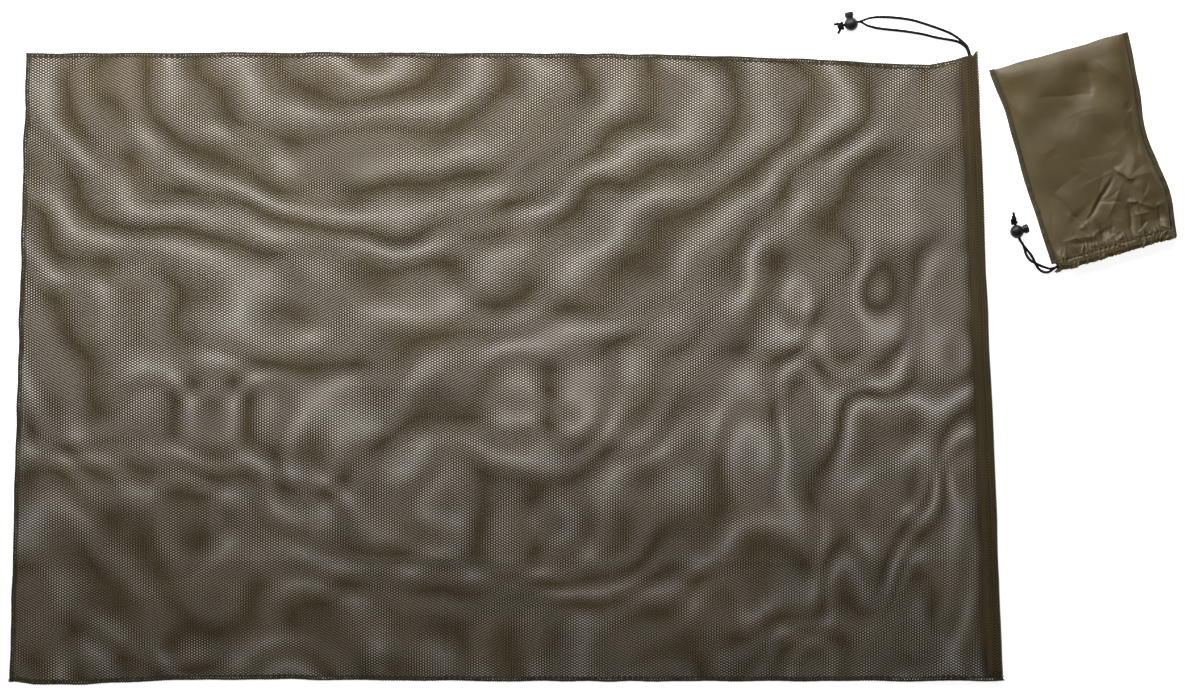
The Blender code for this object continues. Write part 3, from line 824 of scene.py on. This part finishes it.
class NetLayers:
    """Where the sack's two net layers lie: plan shifts, and heights."""

    def __init__(self, plan):
        self.plan = plan
        self.mouth_x = plan.lines["b"][-1][0]

    def shift(self, x, y, sign):
        """How far a layer's holes lie from their even pattern.

        The two layers are stretched a little unlike each other, in rings about a point on
        one side. Their holes line up again each time the shift between them has grown by
        one hole.
        """
        across = (x - RINGS_AT[0]) / RINGS_APART[0]
        down = (RINGS_AT[1] - y) / RINGS_APART[1]
        down = np.where(
            down < RINGS_EVEN_TO, down, RINGS_EVEN_TO + (down - RINGS_EVEN_TO) * 0.5)
        rings = np.sqrt(across**2 + down**2) + 0.3
        wild = 0.16 + 0.14 * ease((0.16 - y) / 0.2)
        rings = rings + waves(x, y, 12, 0.24, 1.0, 1.3) * wild + waves(x, y, 14, 0.085, 0.08)
        right = ease((x - 0.80) / 0.25) * ease((0.25 - y) / 0.2)
        rings = rings - right * waves(x, y, 15, 0.11, 0.30, 0.8)
        dy = -HOLE_STEP * rings
        patches = np.maximum(ease((0.14 - y) / 0.15), ease((0.24 - x) / 0.15))
        dx = waves(x, y, 11, 0.24, 0.7 * MM, 0.9) + waves(x, y, 13, 0.13, 0.4 * MM)
        dx = dx + patches * waves(x, y, 16, 0.17, 1.3 * MM, 0.8)
        return sign * dx / 2, sign * (dy + 6 * HOLE_STEP) / 2

    def edge_share(self, x, y, reach=45 * MM):
        """0 at the side seams and the closed end, and 1 a little way in."""
        plan = self.plan
        near_mouth = ease((x - self.mouth_x + 0.12) / 0.07)
        reach_a = reach + (8 * MM - reach) * near_mouth
        a = ease((plan.side("a", x) - y) / reach_a)
        b = ease((y - plan.side("b", x)) / reach)
        end = ease((x - plan.end(y)) / reach)
        return a * b * end

    def seam_height(self, x):
        return NET_FLOOR + 0.36 * (self.inside(x) - NET_SAG)

    def inside(self, x):
        """Height of the upper layer away from the seams: sagging, then up to the casing."""
        top = self.plan.height(x)
        away = np.maximum(self.plan.mouth(0.0) - self.plan.casing - x, 0)
        return NET_SAG + (top - NET_SAG) * np.exp(-(away / 0.085)**1.2)

    def creases(self, x, y):
        """Soft ridges left by the way the sack was folded for its pouch."""
        total = 0
        for at in PACKED_ACROSS:
            wander = waves(y, y * 0, int(at * 100), 0.5, 2.5 * MM)
            total = total + bell((x - at - wander) / PACKED_WIDTH)
        for at in PACKED_ALONG:
            wander = waves(x, x * 0, int(50 + at * 100), 0.6, 3 * MM)
            total = total + 0.7 * bell((y - at - wander) / PACKED_WIDTH)
        return total

    def placed(self, x, y, sign):
        """Where a hole of the even pattern lies in the plan."""
        dx, dy = self.shift(x, y, sign)
        return x + dx, y + dy

    def upper(self, x, y):
        x, y = self.placed(x, y, 1)
        share = self.edge_share(x, y)
        ripple = waves(x, y, 21, 0.11, 0.75 * MM, 1.3) + waves(x, y, 22, 0.045, 0.16 * MM)
        calm = 1 - ease((x - self.plan.mouth(y) + 0.06) / 0.04)
        inside = self.inside(x) + np.maximum(ripple, -1.4 * MM) * calm
        inside = inside + 1.1 * MM * self.creases(x, y) * calm
        seam = self.seam_height(x) + LAYER_GAP
        return self.plan.world(x, y, seam + (inside - seam) * share)

    def lower(self, x, y):
        x, y = self.placed(x, y, -1)
        share = self.edge_share(x, y)
        ripple = waves(x, y, 31, 0.10, 0.28 * MM)
        inside = NET_FLOOR + np.abs(ripple)
        seam = self.seam_height(x) - LAYER_GAP
        return self.plan.world(x, y, seam + (inside - seam) * share)


class Edge:
    """One edge of a bag that is sewn: its line, the way inwards, and how far it runs."""

    def __init__(self, plan, which):
        self.plan = plan
        self.which = which
        inset = 1.0 * MM
        if which == "end":
            self.start = plan.lines["b"][0][1] + inset
            self.stop = plan.lines["a"][0][1] - inset
        else:
            self.start = float(plan.end(plan.lines[which][0][1]))
            shorter = plan.casing / 2 + 3.4 * MM if which == plan.exit else 0.0
            self.stop = float(plan.mouth(plan.lines[which][-1][1])) - shorter - inset

    def at(self, q, inwards):
        """Plan points at places q along the edge, that far in from it."""
        wobble = waves(q, q * 0, 40 + len(self.which), 0.06, 0.35 * MM)
        if self.which == "end":
            return self.plan.end(q) + inwards + wobble, q + 0 * inwards
        sign = -1 if self.which == "a" else 1
        return q + 0 * inwards, self.plan.side(self.which, q) + sign * (inwards + wobble)


def folded(share, flat=0.7):
    """Half height of a folded strip, full up to its flat share and round at the fold (1)."""
    return np.sqrt(1 - unit((share - flat) / (1 - flat))**2)


def channel_section(share, flat):
    """Heights of a channel's outer side, and of its flap, which comes across to be sewn."""
    outer = CHANNEL_HALF * folded(share, flat)
    return outer, np.where(
        share < flat, CHANNEL_HALF * (1 - 2 * ease(share / flat)), -outer)


def cord_height(plan, layer, y):
    """Middle height of one mouth channel, where its cord lies."""
    if layer == "lower":
        return plan.low_cord + 0 * y
    return plan.height(plan.mouth(y)) - UPPER_CORD_DROP


def channel_middle(plan, cloth, layer, y):
    """The same height, but drawn down to the seam at the far corner."""
    pinch = 1 - ease(np.abs(y - plan.corner(plan.far)) / CHANNEL_PINCH)
    z = cord_height(plan, layer, y)
    up = 1 if layer == "upper" else -1
    return z + (cloth.seam_height(plan.mouth(y)) + up * 1.2 * MM - z) * pinch


def make_net_seam(plan, layers, which, looks):
    """The edge's turned and overlocked binding: net folded over both layers, twice."""
    edge = Edge(plan, which)
    half = 0.95 * MM
    parts = []
    for k, width in enumerate((SEAM_WIDTH, SEAM_WIDTH - 1.6 * MM)):
        around = 2 * width

        def shape(p, q, width=width, k=k):
            u = width - np.abs(width - p)
            x, y = edge.at(q, width - u + 0.25 * MM * k)
            side = np.where(p < width, 1, -1)
            z = layers.seam_height(x) + side * (half - 0.3 * MM * k) * folded(u / width)
            return plan.world(x, y, z)

        parts.append(net(
            "binding_part", (0.0, around), (edge.start, edge.stop),
            lambda p, q, around=around: (p > 0) & (p < around), shape))
    name = f"{plan.name}_{SEAMS[which]}"
    seam = join(name + "_binding", parts)
    enter(seam, looks["net_seam"], plan.name, name)
    length = edge.stop - edge.start

    turn_step = 2.7 * MM
    q = np.linspace(edge.start + 1 * MM, edge.stop - 1 * MM, int(length / turn_step) * 10)
    angle = 2 * math.pi * (q - q[0]) / turn_step
    reach = 2.5 * MM
    x, y = edge.at(q, reach + 0.1 * MM - reach * np.cos(angle))
    z = layers.seam_height(x) + (half + 0.15 * MM) * np.sin(angle)
    overlock = tube("overlock_part", plan.world(x, y, z), 0.22 * MM, 5)
    q = np.arange(edge.start + 2 * MM, edge.stop - 2 * MM, 0.8 * MM)
    x, y = edge.at(q, 6.1 * MM + 0 * q)
    z = layers.seam_height(x) + half + 0.2 * MM * beads(q, 1.9 * MM)
    needle = tube("needle_part", plan.world(x, y, z), 0.24 * MM, 6)
    thread = join(name + "_stitches", [overlock, needle])
    enter(thread, looks["thread"], plan.name, name.replace("_seam", "_thread"))


def make_net_casing(plan, layers, layer, looks):
    """The mouth's edge folded back round the cord, and sewn down by a line of stitches."""
    width = plan.casing
    up = 1 if layer == "upper" else -1
    exit_gap = 1.2 * MM
    middle = partial(channel_middle, plan, layers, layer)

    def inside(p, q):
        u = width - np.abs(width - p)
        x = plan.mouth(q) - width + u
        free = exit_gap - 3.6 * MM * ease((u / width - 0.72) / 0.2)
        return (
            (p > -1.5 * MM) & (p < 2 * width) & (q > plan.side("b", x) + 2.0 * MM)
            & (q < plan.side("a", x) - free))

    def shape(p, q):
        u = width - np.abs(width - p)
        share = u / width
        z = middle(q) + up * np.where(p < width, *channel_section(share, 0.62))
        ripple = waves(q, p * 0, 61, 0.09, 0.35 * MM) * share
        puffs = waves(q, p, 62 + up, 0.035, 0.18 * MM)
        return plan.world(plan.mouth(q) - width + u + ripple, q, z + puffs)

    cad = f"{plan.name}_{layer}_casing"
    for side, ys in halves(layer, -0.41, 0.41):
        piece = net(sided(cad + "_net", side), (-2 * MM, 2 * width), ys, inside, shape)
        enter_layer(piece, looks["net_fold"], plan, layer, side, cad)
        shade_inner(piece, looks["net_shade"], middle, up)

    low, high = plan.corner("b") + SEAM_WIDTH, plan.corner("a") - 1.2 * SEAM_WIDTH
    for side, ends in halves(layer, low, high):
        q = np.arange(*ends, 0.8 * MM)
        if layer == "upper":
            z = middle(q) + CHANNEL_HALF + 0.25 * MM + 0.22 * MM * beads(q, 2.4 * MM)
        else:
            z = middle(q) - CHANNEL_HALF + 0.5 * MM
        x = plan.mouth(q) - width - 0.4 * MM
        thread = tube(sided(cad + "_stitches", side), plan.world(x, q, z), 0.26 * MM, 6)
        enter_layer(thread, looks["thread"], plan, layer, side, cad + "_thread")


def shade_inner(piece, look, middle, up):
    """Painted shade: a darker look on the faces that lie on the channel's inner side."""
    piece.data.materials.append(look.material)
    count = len(piece.data.polygons)
    centres = np.zeros(count * 3, np.float32)
    piece.data.polygons.foreach_get("center", centres)
    centres = centres.reshape(-1, 3)
    inner = (centres[:, 2] - middle(centres[:, 1])) * up < 0
    piece.data.polygons.foreach_set("material_index", inner.astype(np.int32))


def make_cord_runs(plan, look):
    """The cord inside both channels, with its turn from the lower to the upper one."""
    out = 1 if plan.far == "a" else -1
    start = plan.corner(plan.exit) + out * SEAM_WIDTH
    turn = plan.corner(plan.far) - out * 17 * MM
    low, high = (cord_height(plan, layer, turn) for layer in ("lower", "upper"))
    angle = np.linspace(-math.pi / 2, math.pi / 2, 16)
    along = np.arange(start, turn, out * 1.5 * MM)
    y = np.r_[along, turn + out * (high - low) / 2 * np.cos(angle)]
    z = np.r_[np.full(len(along), low), (low + high) / 2 + (high - low) / 2 * np.sin(angle)]

    def run(name, y, z):
        line = evened(plan.world(plan.mouth(y) - plan.casing / 2, y, z), 0.9 * MM)
        return tube(f"{plan.name}_{name}", line, CORD_RADIUS, 14, braid)

    enter(run("lower_run", y, z), look, plan.name, plan.name + "_lower_cord_run")
    for side, ends in ((plan.far, (turn, 0.0)), (plan.exit, (0.0, start))):
        y = np.linspace(*ends, 400)
        upper = dress(run("upper_run_" + side, y, cord_height(plan, "upper", y)), look)
        blend_up(upper, plan, side)
        if side == plan.far:
            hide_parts(plan.name + "_upper_cord_run")


# ---- The sack ----

def make_sack_layers(plan, looks):
    layers = NetLayers(plan)
    into_seam = 2.5 * MM
    stitch = plan.casing - 3.0 * MM

    def inside(sign, x, y):
        x, y = layers.placed(x, y, sign)
        return (
            (plan.side("a", x) - y > into_seam) & (y - plan.side("b", x) > into_seam)
            & (x - plan.end(y) > into_seam) & (plan.mouth(y) - x > stitch))

    far = plan.lines["b"][-1][0]
    middle = far / 2
    for layer, sign, shape in (("lower", -1, layers.lower), ("upper", 1, layers.upper)):
        for part, xs in (("closed", (-0.04, middle)), ("open", (middle, far + 0.02))):
            for side, ys in (("b", (-0.45, 0.0)), ("a", (0.0, 0.45))):
                piece = net(
                    f"sack_{layer}_net_{part}_{side}", xs, ys, partial(inside, sign), shape)
                dress(piece, looks["net"])
                if layer == "lower":
                    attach(piece, "sack")
                else:
                    blend_up(piece, plan, side)
                if (part, side) == ("closed", "a"):
                    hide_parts(f"sack_{layer}_panel")
    return layers


# ---- Pouch: taffeta, creased and gathered ----

# Creases of the upper cloth in mm: start, end, width at each end, height, and how far the
# crease leans to its left.
CREASES = [
    ((24, 28), (66, 24), 9, 7, -2.0, 0.5), ((22, 40), (60, 58), 10, 9, 1.4, 0.2),
    ((50, -42), (62, 30), 12, 9, -1.8, 0.0), ((84, 58), (96, 66), 5, 5, -1.6, 0.0),
    ((60, 72), (160, 60), 12, 16, -3.2, 0.4), ((66, 84), (150, 80), 6, 6, 1.2, 0.0),
    ((128, 66), (196, 80), 4, 4, 1.8, 0.6), ((134, -24), (142, 40), 10, 8, -0.8, -0.4),
    ((170, -56), (150, -12), 12, 12, -1.0, 0.3), ((160, 26), (180, 48), 3, 4, 3.2, -0.7),
    ((180, 48), (210, 52), 4, 6, 2.4, -0.5), ((176, 38), (178, 80), 22, 20, 5.0, -0.4),
    ((170, 24), (214, -20), 3, 8, -3.6, 0.7), ((166, 20), (214, -26), 5, 4, 2.2, 0.3),
    ((176, 34), (220, 0), 6, 6, 2.0, 0.0), ((202, 30), (208, 44), 3, 3, 2.6, 0.0),
    ((206, 42), (222, 62), 4, 4, 2.2, -0.3), ((220, 62), (212, 84), 4, 4, 2.4, 0.4),
    ((204, 32), (247, 22), 3, 8, -3.2, 0.0), ((206, 40), (247, 38), 4, 6, 1.8, 0.0),
    ((220, 66), (250, 64), 3, 6, -2.8, 0.0), ((232, 50), (243, 30), 3, 2, -2.0, 0.5),
    ((200, -38), (222, -24), 8, 3, -2.8, -0.4), ((222, -34), (214, -20), 3, 3, 2.0, 0.0),
    ((236, -54), (240, -12), 6, 3, -2.2, -0.5), ((228, -60), (232, -16), 4, 5, 1.6, 0.0),
    ((216, -12), (247, -4), 5, 4, -2.0, 0.0), ((190, -62), (244, -70), 5, 4, -1.6, 0.3),
]


def crease(x, y, start, end, width_from, width_to, height, lean):
    """Height of one crease: a ridge or a valley that fades out at both ends."""
    start, end = np.array(start) * MM, np.array(end) * MM
    way = (end - start) / np.linalg.norm(end - start)
    t = ((x - start[0]) * way[0] + (y - start[1]) * way[1]) / np.linalg.norm(end - start)
    aside = (y - start[1]) * way[0] - (x - start[0]) * way[1]
    fade = ease((t + 0.1) / 0.45) * ease((1.1 - t) / 0.45)
    width = (width_from + (width_to - width_from) * unit(t)) * MM
    aside = aside / (width * (0.35 + 0.65 * fade))
    aside = aside * (1 + lean * np.tanh(3 * aside))
    return height * MM * fade * np.exp(-np.abs(aside)**1.1)


def gathers(q, u, seed):
    """Tight irregular pleats across the mouth: 0 in a furrow and 1 on a ridge."""
    sway = waves(q, u, seed, 0.03, 2.0 * MM)
    a = waves(q + sway, u * 0.22, seed + 1, 0.011, 0.75)
    b = waves(q + sway, u * 0.30, seed + 2, 0.006, 0.45)
    c = waves(q + sway, u * 0.5, seed + 3, 0.0036, 0.3)
    return 1 - unit(np.abs(a) + 0.6 * np.abs(b) + 0.5 * np.abs(c))


class PouchCloth:
    """Where the pouch's two layers lie."""

    def __init__(self, plan):
        self.plan = plan
        random = np.random.default_rng(7)
        self.small_creases = []
        for _ in range(30):
            middle = np.array([
                CREASE_REACH * math.sqrt(random.uniform(0.02, 1)), random.uniform(-66, 70)])
            turn, reach = random.uniform(0, math.pi), random.uniform(8, 26)
            arm = reach * np.array([math.cos(turn), math.sin(turn)])
            width = random.uniform(2.5, 6)
            height = random.choice((-1, 1)) * (0.25 + 1.1 * (middle[0] / CREASE_REACH)**3)
            self.small_creases.append((
                middle - arm, middle + arm, width, width * 0.6, height, random.uniform(-0.6, 0.6)))

    def seam_height(self, x):
        return 1.1 * MM + 5.2 * MM * ease((x - 0.10) / 0.16)

    def crown(self, x, y):
        """0 on the seams and 1 well inside, round like a filled bag."""
        plan = self.plan
        near_mouth = ease((x - plan.mouth(y) + 0.045) / 0.03)
        reach = POUCH_ROUND + (POUCH_ROUND_AT_MOUTH - POUCH_ROUND) * near_mouth
        from_a = plan.side("a", x) - y - SEAM_WIDTH
        from_b = y - plan.side("b", x) - SEAM_WIDTH
        total = rounded(from_a / reach) * rounded(from_b / reach)
        total = total * rounded((x - plan.end(y)) / POUCH_ROUND_AT_END)
        slant = (from_b + 1.2 * MM) / POUCH_SLANT
        slant = unit(slant + waves(x, x * 0, 83, 0.08, 0.08))
        return np.minimum(total, slant + (1 - slant) * near_mouth)

    def upper(self, x, y):
        plan = self.plan
        crown = self.crown(x, y)
        top = np.maximum(plan.height(x) * 0.9, POUCH_TOP) + waves(x, y, 81, 0.06, 0.5 * MM)
        bent_x = x + waves(x, y, 86, 0.05, 1.2 * MM) + waves(x, y, 88, 0.014, 0.25 * MM)
        bent_y = y + waves(x, y, 87, 0.05, 1.2 * MM) + waves(x, y, 89, 0.014, 0.25 * MM)
        folds = sum(crease(bent_x, bent_y, *spec) for spec in CREASES + self.small_creases)
        folds = folds + waves(x, y, 92, 0.065, 0.7 * MM)
        to_stitch = np.maximum(plan.mouth(y) - plan.casing - x, 0)
        pleats = (gathers(y, to_stitch, 90) - 0.4) * np.exp(-to_stitch / (11 * MM)) * 3.2 * MM
        top = top + folds * ease(crown * 1.3)
        channel = plan.height(plan.mouth(y)) - UPPER_CORD_DROP + 1.6 * MM
        top = channel + (top - channel) * ease(to_stitch / (16 * MM)) + pleats * ease(crown * 1.3)
        seam = self.seam_height(x) + 0.4 * MM
        return plan.world(x, y, seam + (top - seam) * crown)

    def lower(self, x, y):
        crown = self.crown(x, y)
        seam = self.seam_height(x) - 0.4 * MM
        flat = 0.4 * MM + np.abs(waves(x, y, 84, 0.05, 0.25 * MM))
        return self.plan.world(x, y, seam + (flat - seam) * ease(crown * 1.4))


def cloth_grid(name, plan, side, shape):
    """One layer of cloth from its closed end to its stitch line, whole or one side of it."""
    inset = 1.2 * MM
    into_sides = SEAM_WIDTH - 1.6 * MM
    along = np.linspace(0, 1, CLOTH_ROWS)
    across = np.linspace(-1, 1, CLOTH_COLUMNS)
    if side:
        across = across[across >= -1e-9] if side == "a" else across[across <= 1e-9]
        across = np.unique(np.append(across, 0.0))
    s, t = np.meshgrid(along, across, indexing="ij")
    y = np.where(
        t > 0, t * (plan.side("a", s * POUCH_LENGTH) - into_sides),
        -t * (plan.side("b", s * POUCH_LENGTH) + into_sides))
    start = plan.end(y) + inset
    stop = plan.mouth(y) - plan.casing + 1.5 * MM
    x = start + (stop - start) * s
    return thickened(name, shape(x.ravel(), y.ravel()), len(along), len(across))


def thickened(name, points, rows, columns):
    """Cloth from a grid of points, as thick as it is."""
    obj = mesh_object(name, points, [grid_faces(rows, columns)])
    solid = obj.modifiers.new("Thickness", "SOLIDIFY")
    solid.thickness = CLOTH_THICKNESS
    apply_modifiers(obj)
    return obj


def make_pouch_cloth(plan, looks):
    cloth = PouchCloth(plan)
    for layer, side in (("lower", ""), ("upper", "a"), ("upper", "b")):
        name = sided(f"pouch_{layer}_cloth", side)
        piece = cloth_grid(name, plan, side, getattr(cloth, layer))
        enter_layer(piece, looks["nylon"], plan, layer, side, f"pouch_{layer}_panel")
    return cloth


def strip(name, line_at, q, profile):
    """A closed band with the given profile of (inwards, height) points, run along q."""
    around = len(profile)
    inwards = np.array([p[0] for p in profile])[None, :]
    rise = np.array([p[1] for p in profile])[None, :]
    points = line_at(q[:, None] + 0 * inwards, inwards + 0 * q[:, None], rise + 0 * q[:, None])
    return mesh_object(name, points, [grid_faces(len(q), around, True)])


def make_cloth_seam(plan, cloth, which, looks):
    """The turned edge of the pouch: four thicknesses pressed flat, and stitched."""
    edge = Edge(plan, which)
    thick = 0.8 * MM
    stitch_at = 5.9
    profile = [(0.3 * MM, 0), (0.5 * MM, thick * 0.7), (1.2 * MM, thick)]
    profile += [(u * MM, thick * (1 - 0.35 * math.exp(-((u - stitch_at) / 0.35)**2)))
                for u in (2.2, 3.2, 4.2, 5.0, 5.5, stitch_at, 6.3)]
    profile += [
        (SEAM_WIDTH, thick * 0.8), (SEAM_WIDTH + 0.2 * MM, 0),
        (SEAM_WIDTH - 0.4 * MM, -thick * 0.7), (3.5 * MM, -thick * 0.8),
        (0.8 * MM, -thick * 0.7)]
    q = np.arange(edge.start, edge.stop, 1.0 * MM)

    def line_at(q, inwards, rise):
        x, y = edge.at(q, inwards)
        pucker = waves(q, inwards * 0.4, 55, 0.012, 0.14 * MM)
        return plan.world(x, y, cloth.seam_height(x) + rise + pucker)

    name = f"{plan.name}_{SEAMS[which]}"
    seam = strip(name + "_cloth", line_at, q, profile)
    enter(seam, looks["nylon_seam"], plan.name, name)

    q = np.arange(edge.start + 2 * MM, edge.stop - 1 * MM, 0.5 * MM)
    x, y = edge.at(q, stitch_at * MM + 0 * q)
    z = cloth.seam_height(x) + thick * 0.65
    z = z + 0.28 * MM * np.sqrt(beads(q, POUCH_STITCH))
    thread = tube(name + "_stitches", plan.world(x, y, z), 0.2 * MM, 6)
    cad = name.replace("_seam", "_thread")
    # These stitches carry painted shade: their near-black colour stands for the fold's shadow.
    enter(thread, looks["dark_thread"], plan.name, cad)


def make_cloth_casing(plan, cloth, layer, looks):
    """The pouch's mouth channel: cloth folded round the cord and gathered along it."""
    width = plan.casing
    up = 1 if layer == "upper" else -1
    low, high = plan.corner("b") + 1.0 * MM, plan.corner("a") - 1.0 * MM

    def shape(p, q):
        u = width - np.abs(width - p)
        share = u / width
        outer, flap = channel_section(share, 0.55)
        ridge = gathers(q, u, 90 if up > 0 else 95)
        body = np.sin(math.pi * unit(share * 0.92))
        groove = bell((u - STITCH_LINE_AT) / (1.2 * MM))
        dip = 0.15 + 1.1 * ease((np.abs(u - width / 2) - 2.6 * MM) / (2 * MM))
        puff = np.maximum((ridge - 0.4) * (2.2 + 0.8 * body), -dip) * MM
        puff = puff - 0.7 * MM * groove
        z = channel_middle(plan, cloth, layer, q)
        z = z + up * np.where(p < width, outer + puff, flap + 0.3 * puff)
        edge = (ridge - 0.5) * 1.9 * MM * share**2 + waves(q, q * 0, 77, 0.03, 0.8 * MM) * share
        x = plan.mouth(q) - width + u + edge
        sign = 1 if plan.exit == "a" else -1
        gap = unit(1 - np.abs(q - plan.corner(plan.exit)) / (8 * MM))
        hold = gap * (SEAM_WIDTH - 1.5 * MM) * (1 - ease((share - 0.60) / 0.35))
        hold = hold * ease(share / 0.3)
        return plan.world(x, q - sign * hold, np.maximum(z, 0.15 * MM))

    p = np.concatenate([np.linspace(-1.0 * MM, width, 34), np.linspace(width, 2 * width, 20)[1:]])
    cad = f"{plan.name}_{layer}_casing"
    for side, ends in halves(layer, low, high):
        q = np.linspace(*ends, int((ends[1] - ends[0]) / (0.55 * MM)))
        grid_p, grid_q = np.meshgrid(p, q, indexing="ij")
        points = shape(grid_p.ravel(), grid_q.ravel())
        piece = thickened(sided(cad + "_cloth", side), points, len(p), len(q))
        enter_layer(piece, looks["nylon"], plan, layer, side, cad)

        q = np.arange(ends[0] + 3 * MM, ends[1] - 3 * MM * (side != "b"), 0.5 * MM)
        points = shape(STITCH_LINE_AT + 0 * q, q)
        rise = 0.15 + 0.25 * np.sqrt(beads(q, POUCH_STITCH))
        points[:, 2] = np.maximum(points[:, 2] + up * rise * MM, 0.3 * MM)
        thread = tube(sided(cad + "_stitches", side), points, 0.2 * MM, 6)
        enter_layer(thread, looks["dark_thread"], plan, layer, side, cad + "_thread")


# ---- Room, light and camera ----

def make_room(plan):
    """The pale floor, a sheet of painted shade under the sack, the sky, and two lights."""
    signs = np.array([(-1, -1, 0), (1, -1, 0), (1, 1, 0), (-1, 1, 0)])
    floor = mesh_object("floor", signs * FLOOR_REACH, [[(0, 1, 2, 3)]], False)
    floor.location.z = -0.2 * MM
    look = Look("floor_paper", 0.9, Emission_Color=(1.0, 1.0, 1.0, 1.0), Emission_Strength=0.85)
    paper = look.noise(60.0, 3.0)
    look.colour(look.ramp(paper, (0.3, (0.86, 0.86, 0.86)), (0.7, (0.88, 0.88, 0.88))))
    dress(floor, look)

    # Under the sack the paper shows only through two nets. A second sheet there is painted shade:
    # it is darker and has a weaker painted glow, most of all at the lower side and below the
    # mouth's folds.
    count = 160
    t, s = np.meshgrid(np.linspace(0, 1, count), np.linspace(0, 1, count), indexing="ij")
    gap = 2.5 * MM
    x = s * plan.mouth(0.0)
    for _ in range(4):
        low, high = plan.side("b", x) + gap, plan.side("a", x) - gap
        y = low + (high - low) * t
        start, stop = plan.end(y) + gap, plan.mouth(y) - 0.6 * MM
        x = start + (stop - start) * s
    points = plan.world(x, y, 0.0)
    shade = mesh_object("floor_shade", points, [grid_faces(count, count)], False)
    shade.location.z = -0.1 * MM
    glow = 0.14 + 0.46 * ease((y + 0.33) / 0.42)
    near_mouth = ease((plan.mouth(y) - x - plan.casing) / (14 * MM))
    glow = glow * (0.04 + 0.96 * near_mouth)
    shade.data.attributes.new("glow", "FLOAT", "POINT").data.foreach_set("value", glow.ravel())
    look = Look("shaded_paper", 0.9, Emission_Color=(1.0, 0.96, 0.90, 1.0))
    share = look.node("ShaderNodeAttribute", attribute_name="glow").outputs["Fac"]
    look.colour(look.ramp(share, (0.0, (0.03, 0.03, 0.03)), (0.10, (0.80, 0.80, 0.80))))
    look.link(share, look.shader.inputs["Emission Strength"])
    dress(shade, look)

    make_sky()
    add_light("window_light", (-0.15, 1.00, 0.68), (0.0, 0.0, 0.0), (1.9, 0.6), 36.0)
    add_light("left_light", (-1.55, 0.35, 0.90), (-0.2, 0.0, 0.0), (0.8, 0.8), 0.9)
    bpy.context.scene.view_settings.view_transform = "Standard"
    bpy.context.scene.view_settings.look = "None"


def make_sky():
    """A sky that lights things dimly, and is light to look at near the horizon."""
    world = bpy.data.worlds.new("soft_room")
    bpy.context.scene.world = world
    world.use_nodes = True
    nodes, link = world.node_tree.nodes, world.node_tree.links.new
    sky = nodes["Background"]
    sky.inputs["Color"].default_value = (1.0, 1.0, 1.0, 1.0)
    split = nodes.new("ShaderNodeSeparateXYZ")
    link(nodes.new("ShaderNodeTexCoord").outputs["Generated"], split.inputs[0])
    band = nodes.new("ShaderNodeMapRange")
    low, high = HORIZON_BAND
    for socket, value in (
            ("From Min", low), ("From Max", high),
            ("To Min", HORIZON_STRENGTH - SKY_STRENGTH), ("To Max", 0.0)):
        band.inputs[socket].default_value = value
    link(split.outputs["Z"], band.inputs["Value"])
    glow = nodes.new("ShaderNodeMath")
    glow.operation = "MULTIPLY_ADD"
    link(band.outputs[0], glow.inputs[0])
    link(nodes.new("ShaderNodeLightPath").outputs["Is Camera Ray"], glow.inputs[1])
    glow.inputs[2].default_value = SKY_STRENGTH
    link(glow.outputs[0], sky.inputs["Strength"])


def add_light(name, place, target, size, power):
    data = bpy.data.lights.new(name, "AREA")
    data.shape = "RECTANGLE"
    data.size, data.size_y = size
    data.energy = power
    light = add_object(name, data)
    light.location = place
    light.visible_camera = False
    aim = Vector(target) - Vector(place)
    light.rotation_euler = aim.to_track_quat("-Z", "Y").to_euler()


def make_camera():
    data = bpy.data.cameras.new("camera")
    data.lens = LENS
    data.sensor_width = SENSOR
    camera = add_object("camera", data)
    camera.location = (*VIEW_CENTRE, VIEW_WIDTH * LENS / SENSOR)
    bpy.context.scene.camera = camera


def main():
    make_camera()
    looks = {
        "net": net_look("olive_net", (0.060, 0.042, 0.016), (0.086, 0.061, 0.025)),
        # The mouth casing's net is the same net painted lighter: painted light on its rounded
        # folds.
        "net_fold": net_look("sunlit_net", (0.088, 0.063, 0.025), (0.116, 0.083, 0.034)),
        "net_seam": net_look("olive_binding", (0.040, 0.031, 0.015), (0.060, 0.046, 0.022)),
        "net_shade": net_look("shaded_net", (0.003, 0.0025, 0.0015), (0.006, 0.005, 0.003)),
        "nylon": nylon_look("olive_nylon", (0.078, 0.056, 0.021), (0.100, 0.073, 0.029)),
        "nylon_seam": nylon_look("nylon_binding", (0.050, 0.036, 0.014), (0.066, 0.048, 0.020)),
        "thread": thread_look(),
        # The pouch's stitches are painted near-black: painted shade for the seam's fold along the
        # stitch line.
        "dark_thread": Look("dark_thread", 0.9, Base_Color=(0.010, 0.008, 0.004, 1.0)),
        "cord": cord_look(),
        "plastic": plastic_look(),
        "steel": steel_look(),
    }
    sack, pouch = Plan(SACK), Plan(POUCH)
    make_room(sack)
    knots = {
        "sack": ((3.4 * MM, 3.9 * MM, 2.6 * MM), ((-18, -8, -3), (-21, 4, 0))),
        "pouch": ((3.3 * MM, 2.9 * MM, 2.5 * MM), ((-20, 1, -1), (-24, 3, -2)))}
    for plan in (sack, pouch):
        knot = make_knot(plan, looks["cord"], *knots[plan.name])
        ball, button = make_lock(plan, looks["plastic"], looks["steel"])
        for layer in ("upper", "lower"):
            make_strand(plan, layer, looks["cord"])
    layers = make_sack_layers(sack, looks)
    for which in SEAMS:
        make_net_seam(sack, layers, which, looks)
    for layer in ("lower", "upper"):
        make_net_casing(sack, layers, layer, looks)
    make_cord_runs(sack, looks["cord"])
    cloth = make_pouch_cloth(pouch, looks)
    for which in SEAMS:
        make_cloth_seam(pouch, cloth, which, looks)
    for layer in ("lower", "upper"):
        make_cloth_casing(pouch, cloth, layer, looks)
    make_cord_runs(pouch, looks["cord"])


main()
